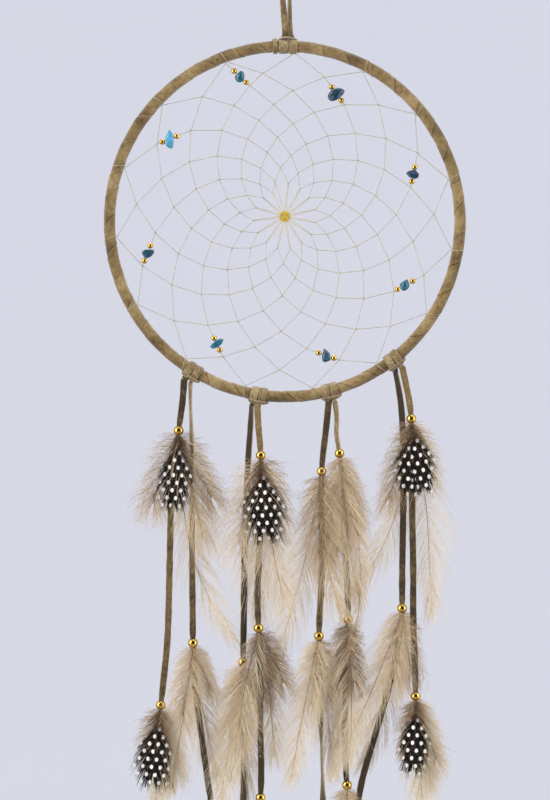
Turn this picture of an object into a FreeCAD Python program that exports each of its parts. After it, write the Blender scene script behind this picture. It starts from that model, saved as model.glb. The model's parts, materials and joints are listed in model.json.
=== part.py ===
"""Dream catcher: a suede-wrapped hoop, a sinew web with turquoise charms, and eight beaded feather tails.

Millimetres. +Z is up and -Y is the front. The origin is the point where the inside of the
hanging loop's top rests on its peg, so everything hangs below z = 0.
"""
import FreeCAD, Part
import math
import os

from FreeCAD import Placement, Rotation, Vector

SIZES = {
    "peg_radius": (3.0, "nail or hook that carries the hanging loop"),
    "loop_gap": (1.55, "half the distance between the loop's two laces at the neck"),
    "loop_foot": (53.1, "lower end of the loop's laces below the origin"),
    "neck_top": (53.45, "top of the hanger knot's neck below the origin"),
    "neck_width": (4.2, "hanger knot's neck, side to side"),
    "neck_depth": (3.0, "hanger knot's neck, front to back"),
    "neck_gap": (0.4, "neck's lower face above the wrap"),
    "loop_straight": (8.0, "straight lace below the peg's centre before the loop leans in"),
    "hoop_drop": (134.2, "hoop's centre below the origin"),
    "hoop_radius": (75.0, "hoop's centre line"),
    "ring_section": (1.5, "radius of the steel ring's wire"),
    "wrap_section": (2.5, "outside radius of the suede wrap"),
    "knot_section": (3.5, "outside radius of a lace turn over the wrap"),
    "hanger_turn": (8.0, "width of the hanger knot's band along the hoop"),
    "knot_turn": (7.0, "width of a tail knot's two turns along the hoop"),
    "bar_radius": (0.9, "lace crossing the front of a tail knot"),
    "bar_reach": (4.1, "crossing lace's distance from the hoop's centre line"),
    "pivot_reach": (5.0, "tail's hanging point, out from the hoop's centre line"),
    "lace_radius": (1.05, "solid stand-in of the flat suede lace"),
    "thread_radius": (0.2, "sinew of the web"),
    "thread_bend": (0.26, "centre-line radius of the sinew's turns"),
    "hitch_offset": (0.24, "sinew's distance from the web's plane where it hooks over itself"),
    "hitch_aside": (0.6, "degrees between a hitch and its turn round the hoop"),
    "hitch_section": (2.75, "centre-line radius of the sinew's turn round the wrapped hoop"),
    "web_depths": (11.0, "rounds that the web would need to close on its centre"),
    "web_power": (1.3, "how fast the rounds crowd towards the centre"),
    "web_last_depth": (8.2, "round after which the sinew is drawn to the hub"),
    "hub_rise": (2.1, "hub above the hoop's centre"),
    "web_tie": (1.0, "degrees between the sinew's first hitch and its last one on the hoop"),
    "hub_bend": (1.7, "circle of the last bends round the hub"),
    "hub_spread": (0.38, "half the width of the last round's turns over the web"),
    "hub_ring": (1.85, "centre-line radius of the tied-off ring at the hub"),
    "hub_section": (0.4, "radius of the tied-off ring's section"),
    "chip_bore": (0.45, "hole radius of chips and spacer beads"),
    "drill_length": (12.0, "length of the drill that makes a chip's hole"),
    "spacer_radius": (1.25, "spacer bead on the web"),
    "bead_radius": (2.15, "bead on a tail lace"),
    "bead_bore": (1.16, "hole radius of a tail bead"),
    "feather_thickness": (0.8, "solid stand-in of a feather"),
    "feather_pitch": (1.1, "distance between feather layers"),
    "fluff_length": (27.0, "downy feather"),
    "fluff_width": (8.0, "downy feather"),
    "hackle_length": (58.0, "long narrow feather"),
    "hackle_width": (4.6, "long narrow feather"),
    "spotted_length": (31.0, "spotted guinea feather"),
    "spotted_width": (10.0, "spotted guinea feather"),
    "feather_gap": (0.35, "clearance between a bead or lace and the feathers"),
}

HITCH_ANGLES = (-20.5, 3.5, 27.5, 50.5, 75.5, 99.5, 123.0, 147.0, 170.5, 193.5, 215.5, 240.5, 264.5,
                288.5, 313.5)
"""Sinew hitches on the hoop, spaced by hand, in degrees clockwise from the top."""

ROUND = len(HITCH_ANGLES) + 1
"""Hitches from a hitch to the one that pulls in the thread after it."""

KNOT_PLACES = (-38.9, -11.0, 19.4, 46.3)
"""Sideways place of each tail knot on the hoop."""

CHARMS = (
    # hitch, share of the way along its thread, chip's half sizes (across, thick, long), lean, bead spacing
    (15, 0.6, (1.7, 1.5, 2.5), 4, (3.5, 3.5)),
    (17, 0.6, (2.1, 1.7, 3.8), 62, (3.55, 3.55)),
    (19, 0.62, (1.7, 1.5, 2.8), 100, (3.15, 3.15)),
    (21, 0.62, (2.1, 1.6, 2.3), 20, (3.65, 3.65)),
    (23, 0.39, (1.8, 1.5, 3.0), -8, (3.45, 3.45)),
    (25, 0.4, (1.3, 1.3, 3.4), 60, (2.8, 2.8)),
    (27, 0.38, (1.9, 1.6, 2.4), 80, (3.5, 3.5)),
    (29, 0.37, (1.6, 1.5, 4.2), 3, (3.3, 3.3)),
)

TAILS = (
    {   # far left
        "top": -43.1, "depth": 0.0,
        "route": ((-43.5, -209.3), (-44.6, -217.5), (-46.4, -231.2), (-48.5, -250.0), (-49.1, -270.6),
                  (-49.5, -292.0), (-50.1, -313.4), (-51.7, -328.8), (-53.1, -341.2)),
        "beads": (-223.7, -341.2),
        "fluff": ((0, -6, -1), (0, -12, 1), (1, 4, -1), (1, 6, 1)),
        "hackles": ((0, -11, -2), (0, -6, 2), (1, 9, -2), (1, 6, 2)),
        "spotted": ((0, -14, -3), (1, 3, -3)),
    },
    {
        "top": -40.35, "depth": 0.0,
        "route": ((-40.5, -210.6), (-40.0, -220.9), (-39.6, -240.6), (-39.8, -266.2), (-39.5, -296.2),
                  (-39.3, -321.9), (-37.6, -339.9), (-35.0, -358.7), (-32.7, -375.4), (-30.7, -388.3),
                  (-29.4, -397.3)),
        "beads": (-314.6, -397.3),
        "fluff": ((0, 8, -1), (0, 5, 1), (1, -3, -1), (1, 1, 1)),
        "hackles": ((0, 12, -2), (0, 8, 2), (1, -8, -2), (1, -4, 2)),
        "spotted": (),
    },
    {
        "top": -14.25, "depth": 0.6,
        "route": ((-14.6, -221.3), (-15.7, -235.4), (-16.6, -255.5), (-17.2, -279.1), (-17.6, -304.8),
                  (-18.1, -332.6), (-17.5, -356.2), (-17.8, -378.4), (-17.4, -399.8)),
        "beads": (-322.8, -399.8),
        "fluff": ((0, -2, -1), (0, -5, 1), (1, -4, -1), (1, -1, 1)),
        "hackles": ((0, -5, -2), (0, -1, 2), (1, -5, -2), (1, 0, 2)),
        "spotted": (),
    },
    {
        "top": -11.7, "depth": -0.4,
        "route": ((-11.4, -221.7), (-10.5, -229.4), (-9.9, -242.3), (-10.2, -262.0), (-11.2, -279.9),
                  (-11.9, -297.5), (-10.8, -315.5), (-10.1, -334.7), (-10.4, -356.1), (-9.9, -369.8),
                  (-10.4, -380.7)),
        "beads": (-234.3, -308.2, -380.7),
        "fluff": ((0, 8, -1), (0, 4, 1), (1, 6, -1), (1, 10, 1), (2, 8, -1), (2, 4, 1)),
        "hackles": ((0, 7, -2), (0, 3, 2), (1, 6, -2), (1, 2, 2), (2, 7, -2), (2, 2, 2)),
        "spotted": ((0, 6, -3),),
    },
    {
        "top": 18.7, "depth": 0.0,
        "route": ((17.7, -223.4), (15.9, -237.1), (15.5, -249.1), (15.9, -270.5), (15.7, -291.9),
                  (14.6, -306.9), (14.5, -319.7), (15.3, -339.0), (15.7, -360.4), (16.4, -379.6),
                  (16.4, -394.6)),
        "beads": (-241.2, -311.6, -394.6),
        "fluff": ((0, -5, -1), (0, -8, 1), (1, -3, -1), (1, -6, 1), (2, -6, -1), (2, -9, 1)),
        "hackles": ((0, -2, -2), (0, -5, 2), (1, 2, -2), (1, -4, 2), (2, -3, -2), (2, -7, 2)),
        "spotted": (),
    },
    {
        "top": 21.5, "depth": 0.0,
        "route": ((22.5, -218.3), (21.9, -224.7), (22.9, -230.3), (24.2, -238.8), (25.2, -255.5),
                  (26.2, -278.2), (27.0, -296.2), (27.3, -313.3), (26.2, -334.7), (25.6, -354.0),
                  (25.9, -366.8), (26.6, -375.4)),
        "beads": (-233.5, -304.5, -375.4),
        "fluff": ((0, 1, -1), (0, 2, 1), (1, -3, -1), (1, -4, 1), (2, -9, -1), (2, -11, 1)),
        "hackles": ((0, 2, -2), (0, 1, 2), (1, -2, -2), (1, -3, 2), (2, -1, -2), (2, -2, 2)),
        "spotted": (),
    },
    {
        "top": 47.4, "depth": 0.6,
        "route": ((49.6, -208.9), (50.5, -222.2), (51.0, -240.6), (50.7, -262.0), (50.2, -284.2),
                  (50.3, -305.6), (48.0, -318.5), (44.4, -334.7), (39.9, -350.1), (35.4, -364.7),
                  (32.4, -375.8), (31.2, -384.4)),
        "beads": (-299.8, -384.4),
        "fluff": ((0, -6, -1), (0, -10, 1), (1, 10, -1), (1, 14, 1)),
        "hackles": ((0, -14, -2), (0, -9, 2), (1, 6, -2), (1, 10, 2)),
        "spotted": (),
    },
    {   # far right
        "top": 50.2, "depth": -0.4,
        "route": ((52.2, -205.5), (53.8, -214.0), (54.4, -223.4), (54.6, -240.6), (54.4, -259.8),
                  (55.0, -281.2), (54.8, -302.6), (55.6, -321.9), (55.9, -337.3)),
        "beads": (-218.7, -337.3),
        "fluff": ((0, 13, -1), (0, 12, 1), (1, 4, -1), (1, 1, 1)),
        "hackles": ((0, 5, -2), (0, 8, 2), (1, 3, -2), (1, 6, 2)),
        "spotted": ((0, 14, -3), (0, 17, 3), (1, -2, -3)),
    },
)
"""Each tail: its hanging point's x, its depth y, the lace's route (x, z), its beads' heights, and for each
feather the bead it hangs from, its lean in degrees towards +X, and its layer (minus is in front)."""


def make_sheet(doc):
    """Put the driving dimensions in a spreadsheet: name, value, meaning."""
    rows = [(name, value, meaning) for name, (value, meaning) in SIZES.items()]
    for number, (_, _, halves, _, _) in enumerate(CHARMS, 1):
        for side, value in zip(("across", "thick", "long"), halves):
            rows.append((f"chip_{side}_{number}", value, f"half size of chip {number}, {side}"))
    sheet = doc.addObject("Spreadsheet::Sheet", "sizes")
    for row, (name, value, meaning) in enumerate(rows, 1):
        sheet.set(f"A{row}", name)
        sheet.set(f"B{row}", str(value))
        sheet.setAlias(f"B{row}", name)
        sheet.set(f"C{row}", meaning)
    doc.recompute()
    return sheet


def size(name):
    """Read one driving dimension back from the sheet."""
    return float(getattr(SHEET, name))


def part(kind, name, placement=None, **bindings):
    """Add an object, binding each named property to an expression over the sheet."""
    made = DOC.addObject(kind, name)
    made.Label = name
    if placement is not None:
        made.Placement = placement
    for prop, expression in bindings.items():
        made.setExpression(prop, expression)
    return made


def boolean(kind, name, base, tool):
    """Cut or common of two objects."""
    made = DOC.addObject(kind, name)
    made.Label = name
    made.Base = base
    made.Tool = tool
    return made


def group(name, members, kind="Part::Compound"):
    """One node from several objects: separate solids, or fused ones with Part::MultiFuse."""
    made = DOC.addObject(kind, name)
    made.Label = name
    if kind == "Part::Compound":
        made.Links = members
    else:
        made.Shapes = members
    return made


def hoop_point(reach, clock):
    """Point at a radius from the hoop's centre, at an angle in degrees clockwise from the top."""
    angle = math.radians(clock)
    return Vector(reach * math.sin(angle), 0, reach * math.cos(angle) - size("hoop_drop"))


def hoop_placement(clock):
    """Placement of a torus round the hoop's centre, standing up, whose sweep starts at an angle."""
    upright = Rotation(Vector(1, 0, 0), 90) * Rotation(Vector(0, 0, 1), 90 - clock)
    return Placement(Vector(0, 0, -size("hoop_drop")), upright)


def along(point, direction):
    """Placement that turns local +Z to a direction at a point."""
    return Placement(point, Rotation(Vector(0, 0, 1), direction))


def rounded_route(points, bend=None):
    """Straight runs joined by tangent arcs: as large as the runs allow, or of one given radius."""
    edges = []
    radii = []
    start = points[0]
    for before, corner, after in zip(points, points[1:], points[2:]):
        back = before - corner
        ahead = after - corner
        half_turn = (math.pi - back.getAngle(ahead)) / 2
        room = 0.45 * min(back.Length, ahead.Length)
        radius = room / math.tan(half_turn)
        if bend is not None:
            radius = min(radius, bend)
        reach = radius * math.tan(half_turn)
        back.normalize()
        ahead.normalize()
        inward = (back + ahead).normalize()
        entry = corner + back * reach
        leave = corner + ahead * reach
        middle = corner + inward * (radius / math.cos(half_turn) - radius)
        edges.append(Part.LineSegment(start, entry).toShape())
        edges.append(Part.Arc(entry, middle, leave).toShape())
        radii.append(radius)
        start = leave
    edges.append(Part.LineSegment(start, points[-1]).toShape())
    return Part.Wire(edges), radii


def tube(name, wire, radius_name):
    """Sweep a circle along a route, and return the sweep."""
    route = DOC.addObject("Part::Feature", f"{name}_route")
    route.Shape = wire
    first = wire.Edges[0]
    heading = first.tangentAt(first.FirstParameter)
    section = part("Part::Circle", f"{name}_section", along(first.valueAt(first.FirstParameter), heading),
                   Radius=f"sizes.{radius_name}")
    swept = DOC.addObject("Part::Sweep", name)
    swept.Label = name
    swept.Sections = [section]
    swept.Spine = (route, [f"Edge{index}" for index in range(1, len(wire.Edges) + 1)])
    swept.Solid = True
    swept.Frenet = False
    TUBES.append((swept, wire.Length, radius_name))
    return swept


def make_hanging_loop():
    """Lace loop: up from the neck, over the peg and down again."""
    over = size("peg_radius") + size("lace_radius")
    gap = size("loop_gap")
    foot = -size("loop_foot")
    lean = (over - gap) / foot
    left = (Vector(-gap, 0, foot), Vector(-over - 0.1, 0, -over * (1 + lean) - size("loop_straight")))
    arch = []
    for step in range(5):
        angle = math.radians(180 - 45 * step)
        corner = over / math.cos(math.radians(22.5))
        arch.append(Vector(corner * math.cos(angle), 0, -size("peg_radius") + corner * math.sin(angle)))
    right = [Vector(-point.x, 0, point.z) for point in reversed(left)]
    wire, radii = rounded_route([*left, *arch, *right])
    report_radii("hanging_loop", radii)
    return tube("hanging_loop", wire, "lace_radius")


def lace_band(name, clock, width_name):
    """Lace turned round the wrapped hoop: a shell over a short arc of it."""
    sweep = f"360 deg * sizes.{width_name} / (2 * pi * sizes.hoop_radius)"
    half = math.degrees(size(width_name) / size("hoop_radius")) / 2
    outer = part("Part::Torus", f"{name}_outer", hoop_placement(clock + half),
                 Radius1="sizes.hoop_radius", Radius2="sizes.knot_section", Angle3=sweep)
    inner = part("Part::Torus", f"{name}_inner", hoop_placement(clock + half + 1),
                 Radius1="sizes.hoop_radius", Radius2="sizes.wrap_section", Angle3=f"{sweep} + 2 deg")
    return boolean("Part::Cut", f"{name}_band", outer, inner)


def make_hoop():
    """Steel ring, suede wrap and the hanger knot with its neck."""
    ring = part("Part::Torus", "hoop_ring", hoop_placement(0),
                Radius1="sizes.hoop_radius", Radius2="sizes.ring_section")
    skin = part("Part::Torus", "wrap_skin", hoop_placement(0),
                Radius1="sizes.hoop_radius", Radius2="sizes.wrap_section")
    core = part("Part::Torus", "wrap_core", hoop_placement(0),
                Radius1="sizes.hoop_radius", Radius2="sizes.ring_section")
    wrap = boolean("Part::Cut", "hoop_wrap", skin, core)
    band = lace_band("hanger", 0, "hanger_turn")
    foot = "sizes.hoop_drop - sizes.hoop_radius - sizes.wrap_section - sizes.neck_gap"
    neck = part("Part::Box", "hanger_neck", None, Length="sizes.neck_width", Width="sizes.neck_depth",
                Height=f"{foot} - sizes.neck_top")
    neck.setExpression(".Placement.Base.x", "-sizes.neck_width / 2")
    neck.setExpression(".Placement.Base.y", "-sizes.neck_depth / 2")
    neck.setExpression(".Placement.Base.z", f"-({foot})")
    knot = group("hanger_knot", [band, neck], "Part::MultiFuse")
    return [ring, wrap, knot]


def web_nodes():
    """Angle and depth of each hitch: the first round sits on the hoop, and every later hitch hooks over the
    middle of the thread one round out, until the web reaches its last depth."""
    nodes = [(angle, 0.0) for angle in HITCH_ANGLES]
    nodes.append((HITCH_ANGLES[0] + 360.0, 0.0))
    while nodes[-1][1] < size("web_last_depth"):
        (angle_a, depth_a), (angle_b, depth_b) = nodes[-ROUND], nodes[-ROUND + 1]
        nodes.append(((angle_a + angle_b) / 2 + 360.0, (depth_a + depth_b) / 2 + 1.0))
    return nodes


def web_point(angle, depth, offset):
    """Place of a hitch: the rounds shrink by a power law and their centre drifts up to the hub."""
    rim = size("hoop_radius") - size("wrap_section") - size("thread_bend")
    share = (1 - depth / size("web_depths")) ** size("web_power")
    point = hoop_point(rim * share, angle)
    return Vector(point.x, offset, point.z + size("hub_rise") * (1 - share))


def web_route():
    """Corners of the sinew: hitch, then the bend that the next round pulls in, then the next hitch. The last
    round's bends are drawn to the hub."""
    nodes = web_nodes()
    offset = size("hitch_offset")
    hub = hoop_point(0, 0) + Vector(0, offset, size("hub_rise"))
    corners = [web_point(nodes[0][0] + size("web_tie"), 0, -offset)]
    for index, node in enumerate(nodes):
        pulled = index + ROUND
        hitch = web_point(*node, -offset)
        if pulled > len(nodes) and index + 1 < len(nodes):
            aside = (hitch - hub).cross(Vector(0, 1, 0)).normalize() * size("hub_spread")
            corners += [hitch + aside, hitch - aside]
        elif index > 0:
            corners.append(hitch)
        if pulled < len(nodes):
            corners.append(web_point(*nodes[pulled], offset))
        elif index + 1 < len(nodes):
            toward = math.radians((node[0] + nodes[index + 1][0]) / 2)
            corners.append(hub + Vector(math.sin(toward), 0, math.cos(toward)) * size("hub_bend"))
    return corners


def make_web():
    """Sinew web in one length, its turns round the hoop and the tied-off hub."""
    wire, radii = rounded_route(web_route(), size("thread_bend"))
    print(f"sinew: {len(radii)} turns, least radius {min(radii):.3f}, length {wire.Length:.0f}")
    hub = hoop_point(0, 0) + Vector(0, 0, size("hub_rise"))
    ring = part("Part::Torus", "sinew_hub", along(hub, Vector(0, -1, 0)),
                Radius1="sizes.hub_ring", Radius2="sizes.hub_section")
    members = [tube("sinew_thread", wire, "thread_radius"), ring]
    for index, angle in enumerate(HITCH_ANGLES):
        clock = angle + size("hitch_aside")
        radial = hoop_point(1, clock) - hoop_point(0, clock)
        place = along(hoop_point(size("hoop_radius"), clock), Vector(radial.z, 0, -radial.x))
        members.append(part("Part::Torus", f"hoop_hitch_{index + 1}", place,
                            Radius1="sizes.hitch_section", Radius2="sizes.thread_radius"))
    return group("sinew_web", members)


def charm_thread(hitch):
    """Ends of the thread that carries a charm: from its hitch to the bend one round further in."""
    nodes = web_nodes()
    offset = size("hitch_offset")
    return web_point(*nodes[hitch], -offset), web_point(*nodes[hitch + ROUND], offset)


def make_charm(number, charm):
    """Turquoise chip between two spacer beads, drilled along the thread that carries them."""
    hitch, share, _, lean, spacing = charm
    start, end = charm_thread(hitch)
    heading = (end - start).normalize()
    centre = start + (end - start) * share
    seam_in_front = Rotation(Vector(0, 0, 1), 90)
    stone = part("Part::Ellipsoid", f"chip_stone_{number}",
                 Placement(centre, Rotation(Vector(0, 1, 0), lean) * seam_in_front),
                 Radius1=f"sizes.chip_long_{number}", Radius2=f"sizes.chip_thick_{number}",
                 Radius3=f"sizes.chip_across_{number}")
    drill = part("Part::Cylinder", f"chip_drill_{number}",
                 along(centre - heading * (size("drill_length") / 2), heading),
                 Radius="sizes.chip_bore", Height="sizes.drill_length")
    chip = boolean("Part::Cut", f"turquoise_chip_{number}", stone, drill)
    beads = []
    for side, distance in zip((-1, 1), spacing):
        place = centre + heading * (side * distance)
        ball = part("Part::Sphere", f"spacer_ball_{number}_{side + 1}", along(place, heading),
                    Radius="sizes.spacer_radius")
        hole = part("Part::Cylinder", f"spacer_hole_{number}_{side + 1}",
                    along(place - heading * size("spacer_radius"), heading),
                    Radius="sizes.chip_bore", Height="2 * sizes.spacer_radius")
        beads.append(boolean("Part::Cut", f"spacer_bead_{number}_{side + 1}", ball, hole))
    return [chip, group(f"spacer_beads_{number}", beads)]


def make_lace_knot(number, place):
    """Lark's head: two turns over the hoop, and the lace that crosses them at the lower front edge."""
    clock = 180 - math.degrees(math.asin(place / size("hoop_radius")))
    band = lace_band(f"knot_{number}", clock, "knot_turn")
    outward = (hoop_point(1, clock) - hoop_point(0, clock)).normalize()
    tangent = Vector(outward.z, 0, -outward.x)
    crossing = (outward + Vector(0, -1, 0)).normalize() * size("bar_reach")
    middle = hoop_point(size("hoop_radius"), clock) + crossing
    start = middle - tangent * (size("knot_turn") / 2)
    bar = part("Part::Cylinder", f"knot_{number}_bar", along(start, tangent),
               Radius="sizes.bar_radius", Height="sizes.knot_turn")
    return group(f"lace_knot_{number}", [band, bar], "Part::MultiFuse")


def tail_route(tail):
    """Corners of a tail's lace, from its hanging point under the knot to its last bead."""
    reach = size("hoop_radius") + size("pivot_reach")
    top = -size("hoop_drop") - math.sqrt(reach ** 2 - tail["top"] ** 2)
    points = [Vector(tail["top"], tail["depth"], top)]
    points += [Vector(x, tail["depth"], z) for x, z in tail["route"]]
    return points


def point_at_height(wire, height):
    """Point and downward direction of a hanging route at a height."""
    for edge in wire.Edges:
        top = edge.valueAt(edge.FirstParameter)
        foot = edge.valueAt(edge.LastParameter)
        if foot.z - 1e-6 <= height <= top.z:
            share = (top.z - height) / (top.z - foot.z)
            spot = edge.FirstParameter + share * (edge.LastParameter - edge.FirstParameter)
            return edge.valueAt(spot), edge.tangentAt(spot)
    raise ValueError(f"no point of the route at z = {height}")


def make_feather(name, kind, bead, lean, layer):
    """Feather blank: the lens where two cylinders meet, hanging from just under its bead."""
    long = size(f"{kind}_length")
    wide = size(f"{kind}_width")
    radius = (long ** 2 + wide ** 2) / (4 * wide)
    arc = f"(sizes.{kind}_length ^ 2 + sizes.{kind}_width ^ 2) / (4 * sizes.{kind}_width)"
    sides = []
    for side in (-1, 1):
        centre = Vector(side * (radius - wide / 2), 0, -size("feather_thickness") / 2)
        sides.append(part("Part::Cylinder", f"{name}_arc_{side + 1}", Placement(centre, Rotation()),
                          Radius=arc, Height="sizes.feather_thickness"))
    blank = boolean("Part::Common", name, *sides)
    turn = Rotation(Vector(0, 1, 0), -lean) * Rotation(Vector(1, 0, 0), 90)
    first = size("lace_radius") + size("feather_gap") + size("feather_thickness") / 2
    depth = math.copysign(first + (abs(layer) - 1) * size("feather_pitch"), layer)
    reach = size("bead_radius") + size("feather_gap") + long / 2
    down = Vector(math.sin(math.radians(lean)), 0, -math.cos(math.radians(lean)))
    blank.Placement = Placement(bead + Vector(0, depth, 0) + down * reach, turn)
    return blank


def make_tail(number, tail):
    """One tail: suede lace, gold beads, and the feathers glued into each bead's lower end."""
    wire, radii = rounded_route(tail_route(tail))
    report_radii(f"lace_tail_{number}", radii)
    made = [tube(f"lace_tail_{number}", wire, "lace_radius")]
    beads = []
    spots = []
    for index, height in enumerate(tail["beads"], 1):
        spot, heading = point_at_height(wire, height)
        spots.append(spot)
        ball = part("Part::Sphere", f"bead_ball_{number}_{index}", along(spot, heading),
                    Radius="sizes.bead_radius")
        hole = part("Part::Cylinder", f"bead_hole_{number}_{index}",
                    along(spot - heading * size("bead_radius"), heading),
                    Radius="sizes.bead_bore", Height="2 * sizes.bead_radius")
        beads.append(boolean("Part::Cut", f"tail_bead_{number}_{index}", ball, hole))
    made.append(group(f"tail_beads_{number}", beads))
    for kind, node in (("fluff", "fluff"), ("hackle", "hackles"), ("spotted", "spotted_feathers")):
        blanks = []
        for index, (bead, lean, layer) in enumerate(tail["hackles" if kind == "hackle" else kind], 1):
            blanks.append(make_feather(f"{kind}_{number}_{index}", kind, spots[bead], lean, layer))
        if blanks:
            made.append(group(f"{node}_{number}", blanks))
    return made


def report_radii(name, radii):
    """Print the bend radii of a cord's route."""
    print(f"{name}: bend radii", " ".join(f"{radius:.0f}" for radius in radii))


def check_and_write(nodes):
    """Stop on a failed object, a bad shape or a wrong tube volume, then write one STEP file per node."""
    failed = [made.Name for made in DOC.Objects if {"Invalid", "Error"} & set(made.State)]
    if failed:
        raise RuntimeError(f"objects failed: {failed}")
    for node in nodes:
        if node.Shape.isNull() or not node.Shape.isValid():
            raise RuntimeError(f"{node.Label} has no valid shape")
    for swept, length, radius_name in TUBES:
        expected = math.pi * size(radius_name) ** 2 * length
        ratio = swept.Shape.Volume / expected
        print(f"{swept.Label}: length {length:.1f}, volume ratio {ratio:.4f}")
        if abs(ratio - 1) > 0.005:
            raise RuntimeError(f"{swept.Label} has the wrong volume")
    os.makedirs("parts", exist_ok=True)
    for node in nodes:
        node.Shape.exportStep(f"parts/{node.Label}.step")
    print(f"{len(nodes)} nodes written")


TUBES = []
"""Swept tubes with their route's length and radius, for the volume test."""

DOC = FreeCAD.newDocument("dream_catcher")
SHEET = make_sheet(DOC)


def main():
    """Build every sub-part and write it."""
    nodes = [make_hanging_loop(), *make_hoop(), make_web()]
    for number, charm in enumerate(CHARMS, 1):
        nodes += make_charm(number, charm)
    for number, place in enumerate(KNOT_PLACES, 1):
        nodes.append(make_lace_knot(number, place))
    for number, tail in enumerate(TAILS, 1):
        nodes += make_tail(number, tail)
    DOC.recompute()
    check_and_write(nodes)
    return nodes


if __name__ == "__main__":
    main()
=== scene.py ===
"""Dream catcher: suede-wrapped hoop, sinew web with turquoise charms, and beaded lace tails with feathers.

Lengths are metres unless a name says otherwise. +Z is up, and the front looks along -Y.
"""

import json
import logging
import math
from collections.abc import Sequence
from dataclasses import dataclass
from enum import Enum

import bpy
import numpy as np
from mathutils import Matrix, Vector

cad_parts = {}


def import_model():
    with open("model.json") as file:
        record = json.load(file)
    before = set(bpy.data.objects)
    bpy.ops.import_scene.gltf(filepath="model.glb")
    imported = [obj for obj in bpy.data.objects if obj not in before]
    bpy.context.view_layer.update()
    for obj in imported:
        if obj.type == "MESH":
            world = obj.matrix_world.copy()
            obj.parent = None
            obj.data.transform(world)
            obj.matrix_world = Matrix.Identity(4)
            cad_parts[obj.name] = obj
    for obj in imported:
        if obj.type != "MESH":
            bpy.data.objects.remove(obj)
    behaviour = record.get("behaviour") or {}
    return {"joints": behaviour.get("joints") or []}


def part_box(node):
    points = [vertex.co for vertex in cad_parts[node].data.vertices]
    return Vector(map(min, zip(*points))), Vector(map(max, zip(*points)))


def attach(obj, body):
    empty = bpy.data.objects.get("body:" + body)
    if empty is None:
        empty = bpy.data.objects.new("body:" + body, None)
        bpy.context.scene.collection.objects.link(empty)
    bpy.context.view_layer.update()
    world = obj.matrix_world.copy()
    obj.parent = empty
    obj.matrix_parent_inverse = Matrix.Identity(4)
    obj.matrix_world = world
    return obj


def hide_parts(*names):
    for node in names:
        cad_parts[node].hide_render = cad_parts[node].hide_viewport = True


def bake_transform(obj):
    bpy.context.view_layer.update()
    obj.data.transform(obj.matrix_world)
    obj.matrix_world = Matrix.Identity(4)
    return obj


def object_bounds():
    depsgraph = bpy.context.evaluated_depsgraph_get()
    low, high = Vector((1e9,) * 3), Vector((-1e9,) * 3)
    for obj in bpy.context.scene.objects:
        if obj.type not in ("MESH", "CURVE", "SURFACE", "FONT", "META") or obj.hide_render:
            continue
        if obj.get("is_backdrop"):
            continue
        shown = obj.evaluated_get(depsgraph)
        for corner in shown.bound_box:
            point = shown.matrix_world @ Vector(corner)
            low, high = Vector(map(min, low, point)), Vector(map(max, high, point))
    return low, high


LOG = logging.getLogger("dream_catcher")
MM = 0.001
TURN = 2 * math.pi
FRONT = np.array([0.0, -1.0, 0.0])
DOWNWARD = np.array([0.0, 0.0, -1.0])

Colour = tuple[float, float, float, float]
Socket = bpy.types.NodeSocket
Value = float | Colour | Socket

WHITE: Colour = (1.0, 1.0, 1.0, 1.0)
BLACK: Colour = (0.0, 0.0, 0.0, 1.0)


def paint(red: int, green: int, blue: int) -> Colour:
    """Linear colour of a screen colour whose parts run from 0 to 255."""
    return (*(((part / 255 + 0.055) / 1.055) ** 2.4 for part in (red, green, blue)), 1.0)


def unit(vectors: np.ndarray) -> np.ndarray:
    """Vectors scaled to length one along the last axis."""
    return vectors / np.maximum(np.linalg.norm(vectors, axis=-1, keepdims=True), 1e-12)


def angles(count: int) -> np.ndarray:
    """Even angles round one turn, in radians."""
    return TURN * np.arange(count) / count


def headings(lines: np.ndarray) -> np.ndarray:
    """Direction of travel at each point of one line, or of many lines."""
    return unit(np.gradient(lines, axis=-2))


def turned(first: np.ndarray, second: np.ndarray, angle: np.ndarray | float) -> np.ndarray:
    """Direction at an angle from the first direction, towards the second one."""
    return np.cos(angle)[..., None] * first + np.sin(angle)[..., None] * second


def travelled(line: np.ndarray) -> np.ndarray:
    """Distance along a line at each of its points."""
    return np.concatenate([[0.0], np.cumsum(np.linalg.norm(np.diff(line, axis=0), axis=1))])


def read_at(at: np.ndarray, marks: np.ndarray, rows: np.ndarray) -> np.ndarray:
    """Vectors read between the marks at which the rows stand."""
    return np.stack([np.interp(at, marks, column) for column in rows.T], -1)


def drift(at: np.ndarray, rng: np.random.Generator, pace: float, waves: int = 5) -> np.ndarray:
    """Smooth random wander from about -1 to 1: a sum of sines of random pace and phase.

    Args:
        at: Places at which the wander is wanted.
        rng: Source of the paces and phases.
        pace: Usual number of swings per unit of `at`.
        waves: Number of sines.

    Returns:
        One value for each place.
    """
    paces = TURN * pace * rng.uniform(0.4, 1.6, waves)
    phases = rng.uniform(0, TURN, waves)
    return np.sin(at[..., None] * paces + phases).sum(-1) / math.sqrt(2 * waves)


def tube_faces(rows: int, columns: int, closed: bool = False) -> list[np.ndarray]:
    """Faces of a tube whose points are numbered ring by ring.

    Args:
        rows: Number of rings.
        columns: Points in a ring.
        closed: The last ring joins the first one; otherwise flat caps close both ends.

    Returns:
        Arrays of quads and, for an open tube, of the caps' triangles.
    """
    ring = np.arange(rows if closed else rows - 1)[:, None]
    place = np.arange(columns)[None, :]
    near, far = ring * columns, (ring + 1) % rows * columns
    after = (place + 1) % columns
    quads = np.stack([near + place, near + after, far + after, far + place], -1).reshape(-1, 4)
    if closed:
        return [quads]
    fan = np.arange(1, columns - 1)
    hub = np.zeros_like(fan)
    first = np.stack([hub, fan + 1, fan], -1)
    last = (rows - 1) * columns + np.stack([hub, fan, fan + 1], -1)
    return [quads, np.concatenate([first, last])]


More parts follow.
